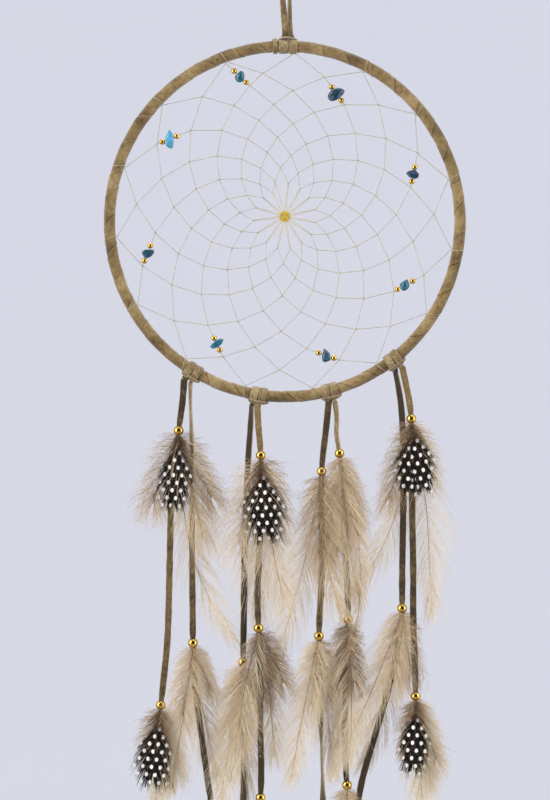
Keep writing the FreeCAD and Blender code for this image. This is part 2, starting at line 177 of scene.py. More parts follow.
def repeated(faces: list[np.ndarray], count: int, stride: int) -> list[np.ndarray]:
    """Faces of one shape, numbered again for each of its copies."""
    shift = np.arange(count)[:, None, None] * stride
    return [(face[None] + shift).reshape(-1, face.shape[1]) for face in faces]


class Piece:
    """Points, faces and point values gathered for one mesh object."""

    def __init__(self, name: str) -> None:
        """Start an empty piece."""
        self.name = name
        self.points: list[np.ndarray] = []
        self.faces: list[np.ndarray] = []
        self.values: dict[str, list[np.ndarray]] = {}
        self.count = 0

    def add(self, points: np.ndarray, faces: list[np.ndarray], **values: np.ndarray | float) -> None:
        """Add one closed surface.

        Args:
            points: Its points, in an array whose last axis holds x, y and z.
            faces: Arrays of quads or triangles over those points.
            values: Named point values, broadcast over the points' grid.
        """
        for name, value in values.items():
            self.values.setdefault(name, []).append(np.broadcast_to(value, points.shape[:-1]).ravel())
        points = points.reshape(-1, 3)
        corners = [points[face] for face in faces]
        volume = sum(
            np.einsum("ij,ij->", corner[:, 0], np.cross(corner[:, a], corner[:, a + 1]))
            for corner in corners for a in range(1, corner.shape[1] - 1))
        self.faces += [(face if volume > 0 else face[:, ::-1]) + self.count for face in faces]
        self.points.append(points)
        self.count += len(points)

    def make(self, material: bpy.types.Material) -> bpy.types.Object:
        """Put the gathered surfaces in one mesh object at the origin."""
        corners = np.concatenate([face.ravel() for face in self.faces]).astype(np.int32)
        sizes = np.concatenate([np.full(len(face), face.shape[1]) for face in self.faces])
        mesh = bpy.data.meshes.new(self.name)
        mesh.vertices.add(self.count)
        mesh.vertices.foreach_set("co", np.concatenate(self.points).astype(np.float32).ravel())
        mesh.loops.add(len(corners))
        mesh.loops.foreach_set("vertex_index", corners)
        mesh.polygons.add(len(sizes))
        mesh.polygons.foreach_set("loop_start", (np.cumsum(sizes) - sizes).astype(np.int32))
        for name, parts in self.values.items():
            attribute = mesh.attributes.new(name, "FLOAT", "POINT")
            attribute.data.foreach_set("value", np.concatenate(parts).astype(np.float32))
        mesh.update(calc_edges=True)
        mesh.polygons.foreach_set("use_smooth", np.ones(len(sizes), bool))
        mesh.materials.append(material)
        made = bpy.data.objects.new(self.name, mesh)
        bpy.context.scene.collection.objects.link(made)
        LOG.info("%s: %d faces", self.name, len(sizes))
        return made


def nurbs_line(route: np.ndarray, spacing: float) -> np.ndarray:
    """Even points of the smooth line that a cord follows: a NURBS spline of order 3 through its route.

    Args:
        route: Control points, one row each.
        spacing: Wanted distance between the points.

    Returns:
        Points of the line, one row each.
    """
    curve = bpy.data.curves.new("route", "CURVE")
    curve.dimensions = "3D"
    curve.resolution_u = 24
    spline = curve.splines.new("NURBS")
    spline.points.add(len(route) - 1)
    spline.points.foreach_set("co", np.column_stack([route, np.ones(len(route))]).ravel())
    spline.order_u = 3
    spline.use_endpoint_u = True
    holder = bpy.data.objects.new("route", curve)
    mesh = bpy.data.meshes.new_from_object(holder)
    line = np.zeros(len(mesh.vertices) * 3)
    mesh.vertices.foreach_get("co", line)
    line = line.reshape(-1, 3)
    bpy.data.meshes.remove(mesh)
    bpy.data.objects.remove(holder)
    bpy.data.curves.remove(curve)
    travel = travelled(line)
    return read_at(np.linspace(0, travel[-1], max(8, round(travel[-1] / spacing))), travel, line)


def sweep(piece: Piece, line: np.ndarray, side: np.ndarray, width: np.ndarray | float,
          depth: np.ndarray | float, columns: int = 8, power: float = 2.0, **values: np.ndarray | float) -> None:
    """Carry a superellipse along a line: |x / width|^power + |y / depth|^power = 1, x towards `side`.

    Args:
        piece: Piece that gets the tube.
        line: Centre points.
        side: Direction of the width at each point.
        width: Half width, one value or one for each point.
        depth: Half thickness, one value or one for each point.
        columns: Points round the section.
        power: 2 for an ellipse, more for a squarer section.
        values: Point values over the rings, each with a last axis of one or of `columns`.
    """
    angle = angles(columns)
    flat = np.sign(np.cos(angle)) * np.abs(np.cos(angle)) ** (2 / power)
    tall = np.sign(np.sin(angle)) * np.abs(np.sin(angle)) ** (2 / power)
    heading = headings(line)
    side = unit(side - (side * heading).sum(-1, keepdims=True) * heading)
    front = np.cross(heading, side)
    width = np.broadcast_to(width, len(line))[:, None, None] * flat[None, :, None]
    depth = np.broadcast_to(depth, len(line))[:, None, None] * tall[None, :, None]
    points = line[:, None] + width * side[:, None] + depth * front[:, None]
    piece.add(points, tube_faces(len(line), columns), **values)


def strands(piece: Piece, lines: np.ndarray, normal: np.ndarray, width: np.ndarray,
            flatness: float, **values: np.ndarray | float) -> None:
    """Thin three-sided tapering rods, all added at once.

    Args:
        piece: Piece that gets the rods.
        lines: Centre points, by rod and by place along it.
        normal: Direction of each rod's thickness.
        width: Half width, by rod and by place.
        flatness: Thickness as a share of the width.
        values: Point values by rod and place, with a last axis of one.
    """
    count, steps = lines.shape[:2]
    heading = headings(lines)
    side = unit(np.cross(normal[:, None], heading))
    front = np.cross(heading, side)
    angle = TURN * (np.arange(3) / 3 + 0.25)
    flat = (width[..., None] * np.cos(angle))[..., None]
    tall = (width[..., None] * flatness * np.sin(angle))[..., None]
    points = lines[:, :, None] + flat * side[:, :, None] + tall * front[:, :, None]
    piece.add(points, repeated(tube_faces(steps, 3), count, steps * 3), **values)


class Shader:
    """One material's node tree, with short calls that add nodes to it."""

    def __init__(self, name: str, roughness: float, **constants: float | Colour) -> None:
        """Make the material and set what is the same all over it on the shader itself.

        Args:
            name: Material's name.
            roughness: Shader's roughness.
            constants: Other shader sockets, with _ for the space in their names.
        """
        self.material = bpy.data.materials.new(name)
        self.material.use_nodes = True
        self.tree = self.material.node_tree
        self.surface = self.tree.nodes["Principled BSDF"]
        self.surface.inputs["Roughness"].default_value = roughness
        for socket, value in constants.items():
            self.surface.inputs[socket.replace("_", " ")].default_value = value

    def node(self, kind: str, inputs: dict[str | int, Value | Vector], **settings: object) -> bpy.types.Node:
        """Add a node, set its settings, and set or link its inputs."""
        made = self.tree.nodes.new(f"ShaderNode{kind}")
        for name, value in settings.items():
            setattr(made, name, value)
        for socket, value in inputs.items():
            if isinstance(value, Socket):
                self.tree.links.new(value, made.inputs[socket])
            else:
                made.inputs[socket].default_value = value
        return made

    def value(self, name: str) -> Socket:
        """Read a piece's own point value."""
        return self.node("Attribute", {}, attribute_name=name).outputs["Fac"]

    def place(self, stretch: tuple[float, float, float] = (1.0, 1.0, 1.0)) -> Socket:
        """Object coordinates, stretched."""
        spot = self.node("TexCoord", {}).outputs["Object"]
        return self.node("Mapping", {"Vector": spot, "Scale": stretch}).outputs["Vector"]

    def along(self, *names: str, stretch: tuple[float, float, float] = (1.0, 1.0, 1.0)) -> Socket:
        """Coordinates that follow the surface, from the piece's own point values."""
        spot = self.node("CombineXYZ", {axis: self.value(name) for axis, name in enumerate(names)})
        return self.node("Mapping", {"Vector": spot.outputs[0], "Scale": stretch}).outputs["Vector"]

    def noise(self, spot: Socket, size: float, detail: float = 3.0) -> Socket:
        """Cloudy noise whose features are about `size` metres wide."""
        return self.node("TexNoise", {"Vector": spot, "Scale": 1 / size, "Detail": detail}).outputs["Fac"]

    def math(self, operation: str, first: Value, second: Value = 0.0) -> Socket:
        """Arithmetic on one or two values."""
        return self.node("Math", {0: first, 1: second}, operation=operation).outputs[0]

    def add(self, first: Value, second: Value) -> Socket:
        """Sum of two values."""
        return self.math("ADD", first, second)

    def less(self, first: Value, second: Value) -> Socket:
        """First value less the second one."""
        return self.math("SUBTRACT", first, second)

    def times(self, first: Value, second: Value) -> Socket:
        """Product of two values."""
        return self.math("MULTIPLY", first, second)

    def ramp(self, amount: Socket, *stops: tuple[float, Colour]) -> Socket:
        """Colour looked up from a row of stops."""
        made = self.node("ValToRGB", {"Fac": amount})
        band = made.color_ramp
        for index, (spot, colour) in enumerate(stops):
            stop = band.elements[index] if index < 2 else band.elements.new(spot)
            stop.position, stop.color = spot, colour
        return made.outputs["Color"]

    def mix(self, amount: Value, first: Value, second: Value, way: str = "MIX") -> Socket:
        """Blend of two colours."""
        return self.node("Mix", {0: amount, 6: first, 7: second}, data_type="RGBA", blend_type=way).outputs[2]

    def paint(self, colour: Socket) -> None:
        """Use a colour for the surface."""
        self.tree.links.new(colour, self.surface.inputs["Base Color"])

    def rough(self, amount: Socket, low: float, high: float) -> None:
        """Spread the roughness between two values."""
        spread = self.node("MapRange", {"Value": amount, "To Min": low, "To Max": high})
        self.tree.links.new(spread.outputs[0], self.surface.inputs["Roughness"])

    def relief(self, height: Socket, depth: float, strength: float = 1.0) -> None:
        """Raise and lower the surface's shading by a height of `depth` metres."""
        bump = self.node("Bump", {"Height": height, "Distance": depth, "Strength": strength})
        self.tree.links.new(bump.outputs[0], self.surface.inputs["Normal"])


@dataclass(frozen=True)
class Suede:
    """Napped split leather: mottled nap, short brushed streaks and paler cut edges."""

    name: str
    light: Colour
    middle: Colour
    dark: Colour
    edge: Colour
    mottle: float = 1.6 * MM
    fibre: float = 0.16 * MM
    nap_depth: float = 0.09 * MM
    nap_shade: Colour = paint(70, 58, 38)
    nap_light: Colour = paint(214, 200, 168)

    def make(self) -> bpy.types.Material:
        """Build the material. It reads `across`, `along`, `tone` (0 dark to 1 light) and `edge`."""
        shader = Shader(self.name, 0.92, Sheen_Weight=0.35, Sheen_Roughness=0.5, Specular_IOR_Level=0.25)
        spot = shader.place()
        flow = shader.along("across", "along", stretch=(1.0, 0.22, 1.0))
        patches = shader.noise(spot, self.mottle, 5.0)
        streaks = shader.noise(flow, self.fibre * 2.2, 4.0)
        nap = shader.noise(spot, self.fibre, 2.0)
        blend = shader.add(shader.times(patches, 0.55), shader.times(streaks, 0.45))
        level = shader.add(blend, shader.less(shader.value("tone"), 0.5))
        colour = shader.ramp(level, (0.22, self.dark), (0.78, self.light), (0.5, self.middle))
        worn = shader.times(shader.value("edge"), shader.add(streaks, 0.25))
        colour = shader.mix(worn, colour, self.edge)
        fuzz = shader.ramp(nap, (0.3, self.nap_shade), (0.7, self.nap_light))
        shader.paint(shader.mix(0.35, colour, fuzz, "OVERLAY"))
        height = shader.add(nap, shader.times(streaks, 0.8))
        shader.relief(shader.add(height, patches), self.nap_depth, 0.7)
        return shader.material


@dataclass(frozen=True)
class Sinew:
    """Waxed sinew: flat twisted fibres, cream, and golden where it is dressed with wax at the hub."""

    name: str = "waxed_sinew"
    pale: Colour = paint(178, 170, 142)
    shade: Colour = paint(118, 108, 82)
    gold: Colour = paint(186, 156, 24)

    def make(self) -> bpy.types.Material:
        """Build the material. It reads `along`, `across` and `gold`."""
        shader = Shader(self.name, 0.42, Specular_IOR_Level=0.5, Coat_Weight=0.15, Coat_Roughness=0.3)
        fibres = shader.noise(shader.along("across", "along", stretch=(1.0, 0.15, 1.0)), 0.09 * MM, 3.0)
        wax = shader.noise(shader.place(), 2.5 * MM, 2.0)
        level = shader.add(shader.times(fibres, 0.6), shader.times(wax, 0.4))
        colour = shader.ramp(level, (0.3, self.shade), (0.62, self.pale))
        golden = shader.times(shader.value("gold"), shader.add(wax, 0.45))
        shader.paint(shader.mix(golden, colour, self.gold))
        shader.rough(fibres, 0.3, 0.6)
        shader.relief(fibres, 0.04 * MM, 0.8)
        return shader.material


@dataclass(frozen=True)
class Turquoise:
    """Polished turquoise: clouded blue-green with brown matrix veins and small pits."""

    name: str = "turquoise_stone"
    teal: Colour = paint(14, 92, 112)
    sky: Colour = paint(78, 150, 184)
    deep: Colour = paint(4, 40, 60)
    matrix: Colour = paint(52, 46, 34)
    wander_scale: float = 900.0
    vein_scale: float = 420.0

    def make(self) -> bpy.types.Material:
        """Build the material. It reads `tone`, from 0 for deep teal to 1 for sky blue."""
        shader = Shader(self.name, 0.26, Coat_Weight=0.25, Coat_Roughness=0.12, Specular_IOR_Level=0.4)
        spot = shader.place()
        clouds = shader.noise(spot, 1.5 * MM, 4.0)
        level = shader.add(shader.times(clouds, 0.8), shader.less(shader.value("tone"), 0.42))
        colour = shader.ramp(level, (0.12, self.deep), (0.9, self.sky), (0.5, self.teal))
        wander = shader.node("TexNoise", {"Vector": spot, "Scale": self.wander_scale}).outputs["Color"]
        bent = shader.mix(0.25, spot, wander, "LINEAR_LIGHT")
        cells = shader.node("TexVoronoi", {"Vector": bent, "Scale": self.vein_scale}, feature="DISTANCE_TO_EDGE")
        vein = shader.ramp(cells.outputs["Distance"], (0.0, WHITE), (0.045, BLACK))
        patchy = shader.ramp(shader.noise(spot, 2.4 * MM), (0.45, BLACK), (0.62, WHITE))
        veins = shader.times(vein, patchy)
        shader.paint(shader.mix(veins, colour, self.matrix))
        shader.rough(shader.noise(spot, 0.5 * MM), 0.18, 0.4)
        shader.relief(shader.less(clouds, veins), 0.06 * MM, 0.6)
        return shader.material


@dataclass(frozen=True)
class Metal:
    """Plated or drawn metal with fine handling marks."""

    name: str
    colour: Colour
    worn: Colour
    shine: tuple[float, float] = (0.12, 0.3)

    def make(self) -> bpy.types.Material:
        """Build the material."""
        shader = Shader(self.name, 0.2, Metallic=1.0)
        spot = shader.place()
        cloud = shader.noise(spot, 1.1 * MM, 4.0)
        marks = shader.noise(shader.place((1.0, 6.0, 1.0)), 0.2 * MM, 2.0)
        shader.paint(shader.ramp(cloud, (0.35, self.worn), (0.6, self.colour)))
        shader.rough(marks, *self.shine)
        shader.relief(marks, 0.01 * MM, 0.35)
        return shader.material


@dataclass(frozen=True)
class Feathering:
    """Feather barbs: colour by `tone` along the barbs, and white dots where `dotted` is one."""

    name: str
    stops: tuple[tuple[float, Colour], ...]
    shaft: Colour
    dot_pitch: tuple[float, float] = (3.7 * MM, 3.2 * MM)
    dot_radius: float = 0.78 * MM
    sheen: float = 0.3
    dot: Colour = paint(244, 240, 232)

    def make(self) -> bpy.types.Material:
        """Build the material. It reads `tone`, `shaft`, `dotted`, and `across` and `along` in metres."""
        shader = Shader(self.name, 0.7, Sheen_Weight=self.sheen, Sheen_Roughness=0.4, Specular_IOR_Level=0.2)
        mottle = shader.noise(shader.along("across", "along"), 1.8 * MM, 4.0)
        level = shader.add(shader.value("tone"), shader.times(shader.less(mottle, 0.5), 0.35))
        colour = shader.ramp(level, *self.stops)
        row = shader.math("DIVIDE", shader.value("along"), self.dot_pitch[1])
        stagger = shader.times(shader.math("FLOORED_MODULO", shader.math("FLOOR", row), 2.0), 0.5)
        column = shader.add(shader.math("DIVIDE", shader.value("across"), self.dot_pitch[0]), stagger)
        aside = shader.times(shader.less(shader.math("FRACT", column), 0.5), self.dot_pitch[0])
        above = shader.times(shader.less(shader.math("FRACT", row), 0.5), self.dot_pitch[1])
        above = shader.times(above, 0.8)
        squares = shader.add(shader.times(aside, aside), shader.times(above, above))
        reach = shader.math("DIVIDE", shader.math("SQRT", squares), self.dot_radius)
        disc = shader.ramp(reach, (0.8, WHITE), (1.0, BLACK))
        dots = shader.times(disc, shader.value("dotted"))
        colour = shader.mix(dots, colour, self.dot)
        shader.paint(shader.mix(shader.value("shaft"), colour, self.shaft))
        shader.rough(mottle, 0.5, 0.85)
        return shader.material


class Finish(Enum):
    """Every finish of the object."""

    WRAP = Suede("suede_strip", paint(156, 136, 98), paint(118, 99, 62), paint(66, 50, 24), paint(142, 122, 84))
    LACE = Suede("suede_lacing", paint(160, 143, 108), paint(110, 92, 58), paint(50, 38, 18), paint(178, 163, 130))
    RING = Metal("steel_wire", paint(170, 172, 176), paint(120, 118, 116), (0.25, 0.5))
    SINEW = Sinew()
    STONE = Turquoise()
    GOLD = Metal("gold_plate", paint(222, 182, 88), paint(172, 126, 46))
    DOWN = Feathering("down_barbs", ((0.05, paint(226, 208, 178)), (1.0, paint(74, 52, 24)),
                                     (0.35, paint(200, 172, 132)), (0.65, paint(148, 114, 70))), paint(160, 130, 88))
    HACKLE = Feathering("hackle_barbs", ((0.05, paint(226, 210, 182)), (1.0, paint(88, 64, 36)),
                                         (0.35, paint(206, 182, 142)), (0.65, paint(164, 130, 86))),
                        paint(106, 80, 48))
    GUINEA = Feathering("guinea_barbs", ((0.05, paint(200, 182, 156)), (1.0, paint(18, 11, 7)),
                                         (0.35, paint(146, 120, 90)), (0.7, paint(62, 45, 31))), paint(66, 48, 34),
                        sheen=0.0)


"""The record's material slot of each finish."""


class Wardrobe:
    """The materials, each made once, and the call that dresses a finished piece."""

    def __init__(self) -> None:
        """Build every material."""
        self.materials = {finish: finish.value.make() for finish in Finish}

    def dress(self, piece: Piece, finish: Finish, body: str, *nodes: str,
              bends_to: str = "", start: Sequence[float] = (), end: Sequence[float] = ()) -> bpy.types.Object:
        """Make a piece's object, put it on its body unless it reaches to a second body, and hide the frame nodes that
        it replaces.

        Args:
            piece: Gathered surfaces.
            finish: What the piece is made of.
            body: Body that it rides on.
            nodes: Frame nodes that it replaces.
            bends_to: Second body, for a piece that reaches between two; such a piece is put on neither body.
            start: Not used.
            end: Not used.

        Returns:
            The new object.
        """
        made = piece.make(self.materials[finish])
        if bends_to:
            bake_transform(made)
        else:
            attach(made, body)
        if nodes:
            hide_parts(*nodes)
        return made


@dataclass(frozen=True)
class Hoop:
    """The wrapped ring: where it is, and the suede strip wound round it.

    The strip's turns lie side by side, each one's later edge a little over the turn before it.

    Attributes:
        centre: Middle of the hoop.
        radius: Distance from there to the middle of the tube.
        section: Outer radius of the wrapped tube.
        turns: Turns of the strip.
        under: Radius of the strip's lowest places.
        lap: Height of its highest places over them.
        wander: How far a turn strays along the hoop, in radians.
        rows: Points round the tube.
        profile: Place across a turn and height over `under`, both as shares.
    """

    centre: np.ndarray
    radius: float
    section: float
    turns: int = 39
    under: float = 2.33 * MM
    lap: float = 0.2 * MM
    wander: float = 0.007
    rows: int = 44
    profile: tuple[tuple[float, float], ...] = (
        (0.0, 0.0), (0.015, 0.02), (0.05, 0.12), (0.12, 0.25), (0.24, 0.36), (0.38, 0.45), (0.52, 0.55),
        (0.66, 0.66), (0.78, 0.78), (0.88, 0.92), (0.945, 1.04), (0.975, 1.0), (0.99, 0.6))

    @classmethod
    def from_frame(cls) -> "Hoop":
        """Measure the hoop on the frame's wrap."""
        low, high = (np.array(corner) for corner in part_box("hoop_wrap"))
        section = (high[1] - low[1]) / 2
        return cls((low + high) / 2, (high[2] - low[2]) / 2 - section, section)

    def outward(self, clock: np.ndarray | float) -> np.ndarray:
        """Direction from the hoop's centre, at an angle in radians clockwise from the top."""
        clock = np.asarray(clock, float)
        return np.stack([np.sin(clock), np.zeros_like(clock), np.cos(clock)], -1)

    def round_tube(self, clock: np.ndarray, turn: np.ndarray, reach: np.ndarray | float) -> np.ndarray:
        """Points round the tube: `turn` is 0 at the hoop's outside and a quarter turn at its back."""
        out = self.outward(clock)
        reach = np.broadcast_to(reach, np.shape(clock))[..., None]
        back = np.sin(turn)[..., None] * reach * -FRONT
        return self.centre + out * (self.radius + reach * np.cos(turn)[..., None]) + back

    def build(self, wardrobe: Wardrobe) -> None:
        """Build the wound strip.

        A column of points is a line across the strip's winding: one turn of the tube moves it on by one pitch,
        so the strip's edges are columns, and the last row joins the first one a pitch further on.
        """
        spots, heights = np.array(self.profile).T
        pitch = len(spots)
        column = (np.arange(self.turns)[:, None] + spots).ravel() / self.turns
        count = len(column)
        around = np.arange(self.rows) / self.rows
        clock = TURN * (column[:, None] + around / self.turns)
        turn = np.broadcast_to(TURN * around, clock.shape)
        clock = clock + self.wander * self.sway(clock, turn)
        lift = 1 + 0.25 * np.sin(13 * clock + 2 * turn) + 0.15 * np.sin(31 * clock - turn)
        inside = (1 - np.cos(turn)) / 2
        pucker = 0.05 * MM * inside * np.sin(190 * clock + 3 * turn) * np.sin(17 * clock)
        reach = self.under + self.lap * np.tile(heights, self.turns)[:, None] * lift + pucker
        tone = 0.5 + 0.07 * np.sin(9 * clock + 1) + 0.05 * np.sin(23 * clock + turn) + 0.05 * np.sin(41 * clock)
        # Painted light: the strip is painted paler on the side of the tube that faces the hoop's middle, and darker
        # on its outer side.
        tone = tone + 0.16 * (inside - 0.5)
        edge = np.exp(-((spots - 0.965) / 0.03) ** 2)
        # Painted shade: each turn is darkened along its lowest edge, in the crease where it meets the raised edge of
        # its neighbour.
        lap_crease_shade = np.exp(-(spots / 0.03) ** 2)
        piece = Piece("hoop_wrap_strip")
        # The strip's tone holds its own uneven tone, the painted light round the tube and the painted crease shade.
        piece.add(self.round_tube(clock, -turn, reach), [self.wound_faces(count, pitch)],
                  tone=tone - 0.3 * np.tile(lap_crease_shade, self.turns)[:, None],
                  edge=np.tile(edge, self.turns)[:, None] * 0.5,
                  across=np.tile(spots, self.turns)[:, None] * TURN * self.radius / self.turns,
                  along=turn * self.section + np.arange(count)[:, None] // pitch * TURN * self.section)
        wardrobe.dress(piece, Finish.WRAP, "hoop", "hoop_wrap")
        wardrobe.dress(self.ring(), Finish.RING, "hoop", "hoop_ring")

    def sway(self, clock: np.ndarray, turn: np.ndarray) -> np.ndarray:
        """Unevenness of the hand-wound turns: sines along the hoop, some of them slanting round the tube."""
        rng = np.random.default_rng(3)
        sway = 0.0
        for swing in (7, 11, 16, 23):
            phase = rng.uniform(0, TURN, 2)
            sway = sway + np.sin(swing * clock + phase[0]) + 0.4 * np.sin(swing * clock + 2 * turn + phase[1])
        return sway

    def wound_faces(self, count: int, pitch: int) -> np.ndarray:
        """Quads of the strip, whose last row joins the first row of the column a pitch further on."""
        near = np.arange(count)[:, None]
        place = np.arange(self.rows)[None, :]
        after = (place + 1) % self.rows
        carry = np.where(place + 1 == self.rows, pitch, 0)
        far = (near + 1) % count
        corners = [near * self.rows + place, far * self.rows + place,
                   (far + carry) % count * self.rows + after, (near + carry) % count * self.rows + after]
        return np.stack(np.broadcast_arrays(*corners), -1).reshape(-1, 4)

    def ring(self) -> Piece:
        """The steel ring that the wrap hides: a plain torus with a short butt weld."""
        low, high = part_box("hoop_ring")
        wire = (high.y - low.y) / 2
        rows, columns = 160, 14
        clock, turn = angles(rows)[:, None], angles(columns)[None, :]
        weld = 1 + 0.05 * np.exp(-((clock - math.pi) / 0.02) ** 2)
        clock, turn, weld = np.broadcast_arrays(clock, turn, weld)
        piece = Piece("hoop_ring_wire")
        piece.add(self.round_tube(clock, turn, wire * weld), tube_faces(rows, columns, closed=True))
        return piece


@dataclass(frozen=True)
class Lace:
    """Flat suede lace: half its width and thickness, and how it is pinched inside a bead."""

    width: float = 1.42 * MM
    depth: float = 0.48 * MM
    pinch_width: float = 0.98 * MM
    pinch_depth: float = 0.84 * MM
    pinch_reach: float = 3.2 * MM
    columns: int = 18
    squareness: float = 3.4

    def carry(self, piece: Piece, line: np.ndarray, side: np.ndarray, rng: np.random.Generator,
              tone: np.ndarray | float, pinches: Sequence[float] = (),
              width: np.ndarray | float | None = None) -> None:
        """Sweep the lace along a line.

        Args:
            piece: Piece that gets the lace.
            line: Centre points.
            side: Direction of the lace's width at each point.
            rng: Source of the hand-cut unevenness.
            tone: Shade from 0, dark, to 1, light.
            pinches: Distances along the line of the beads that fold the lace.
            width: Half width, if it isn't the usual one.
        """
        far = travelled(line)
        wide = (self.width if width is None else width) * (1 + 0.05 * drift(far, rng, 90.0))
        deep = self.depth * (1 + 0.08 * drift(far, rng, 140.0))
        for spot in pinches:
            hold = np.exp(-((far - spot) / self.pinch_reach) ** 2)
            wide = wide * (1 - hold) + self.pinch_width * hold
            deep = deep * (1 - hold) + self.pinch_depth * hold
        angle = angles(self.columns)
        edge = np.abs(np.cos(angle)) ** 10
        face = np.where(np.sin(angle) > 0, -0.1, 0.06)
        tone = np.broadcast_to(tone, far.shape)[:, None] + face + 0.07 * drift(far, rng, 60.0)[:, None]
        sweep(piece, line, side, wide, deep, self.columns, self.squareness, tone=tone, edge=edge * 0.75,
              across=np.cos(angle) * self.width + np.sin(angle) * self.depth, along=far[:, None])


@dataclass(frozen=True)
class HoopKnot:
    """Lace turned over the hoop, with the lace that crosses its turns.

    Attributes:
        name: Piece's name.
        node: Frame node that it replaces.
        clock: Place on the hoop, radians clockwise from the top.
        turns: Each turn's distance along the hoop and half width, in mm.
        slant: How far a turn leans along the hoop, in mm.
        tone: Shade of the suede.
        bar: Crossing lace's half width and half length in mm, if there is one.
        bar_turn: Where the crossing lace lies round the tube, radians from the outside towards the front.
        rise: How far a turn's end stands off the hoop, in mm.
        bed: Height of a turn's middle over the hoop's wrap, in mm.
    """

    name: str
    node: str
    clock: float
    turns: tuple[tuple[float, float], ...]
    slant: float
    tone: float
    bar: tuple[float, float] | None = None
    bar_turn: float = 0.7
    rise: float = 0.9
    bed: float = 0.5

    def middle(self, hoop: Hoop) -> np.ndarray:
        """Middle of the hoop's tube under the knot."""
        return hoop.centre + hoop.outward(self.clock) * hoop.radius

    def build(self, hoop: Hoop, lace: Lace) -> Piece:
        """Sweep the turns round the tube from its outside, over the back and front, to the crossing lace."""
        rng = np.random.default_rng(round(1000 * (self.clock + 4)))
        piece = Piece(self.name)
        share = np.linspace(0, 1, 56)
        for index, (shift, width) in enumerate(self.turns):
            turn = TURN * (share - 0.05)
            reach = hoop.section + (self.bed + self.rise * np.clip((share - 0.9) / 0.1, 0, 1) ** 2
                                    + 0.07 * np.sin(9 * share + index)) * MM
            lean = (shift + self.slant * (0.5 - share)) * MM / hoop.radius
            line = hoop.round_tube(self.clock - lean, turn, reach)
            tangent = np.cross(hoop.outward(self.clock - lean), FRONT)
            lace.carry(piece, line, tangent, rng, self.tone + 0.05 * index, width=width * MM)
        if self.bar:
            self.add_bar(piece, hoop, lace, rng)
        return piece

    def add_bar(self, piece: Piece, hoop: Hoop, lace: Lace, rng: np.random.Generator) -> None:
        """Sweep the crossing lace along the hoop, its ends tucked down into the turns."""
        half_width, half_length = (value * MM for value in self.bar)
        share = np.linspace(-1, 1, 26)
        fall = np.clip((np.abs(share) - 0.72) / 0.28, 0, 1)
        reach = hoop.section + (1.3 - 1.0 * fall ** 2) * MM
        turn = -self.bar_turn * (1 - 0.1 * share) + 0.35 * fall
        clock = self.clock - share * half_length / hoop.radius
        line = hoop.round_tube(clock, turn, reach)
        around = hoop.round_tube(clock, turn + 0.01, reach) - line
        lace.carry(piece, line, around, rng, self.tone - 0.08, width=half_width)


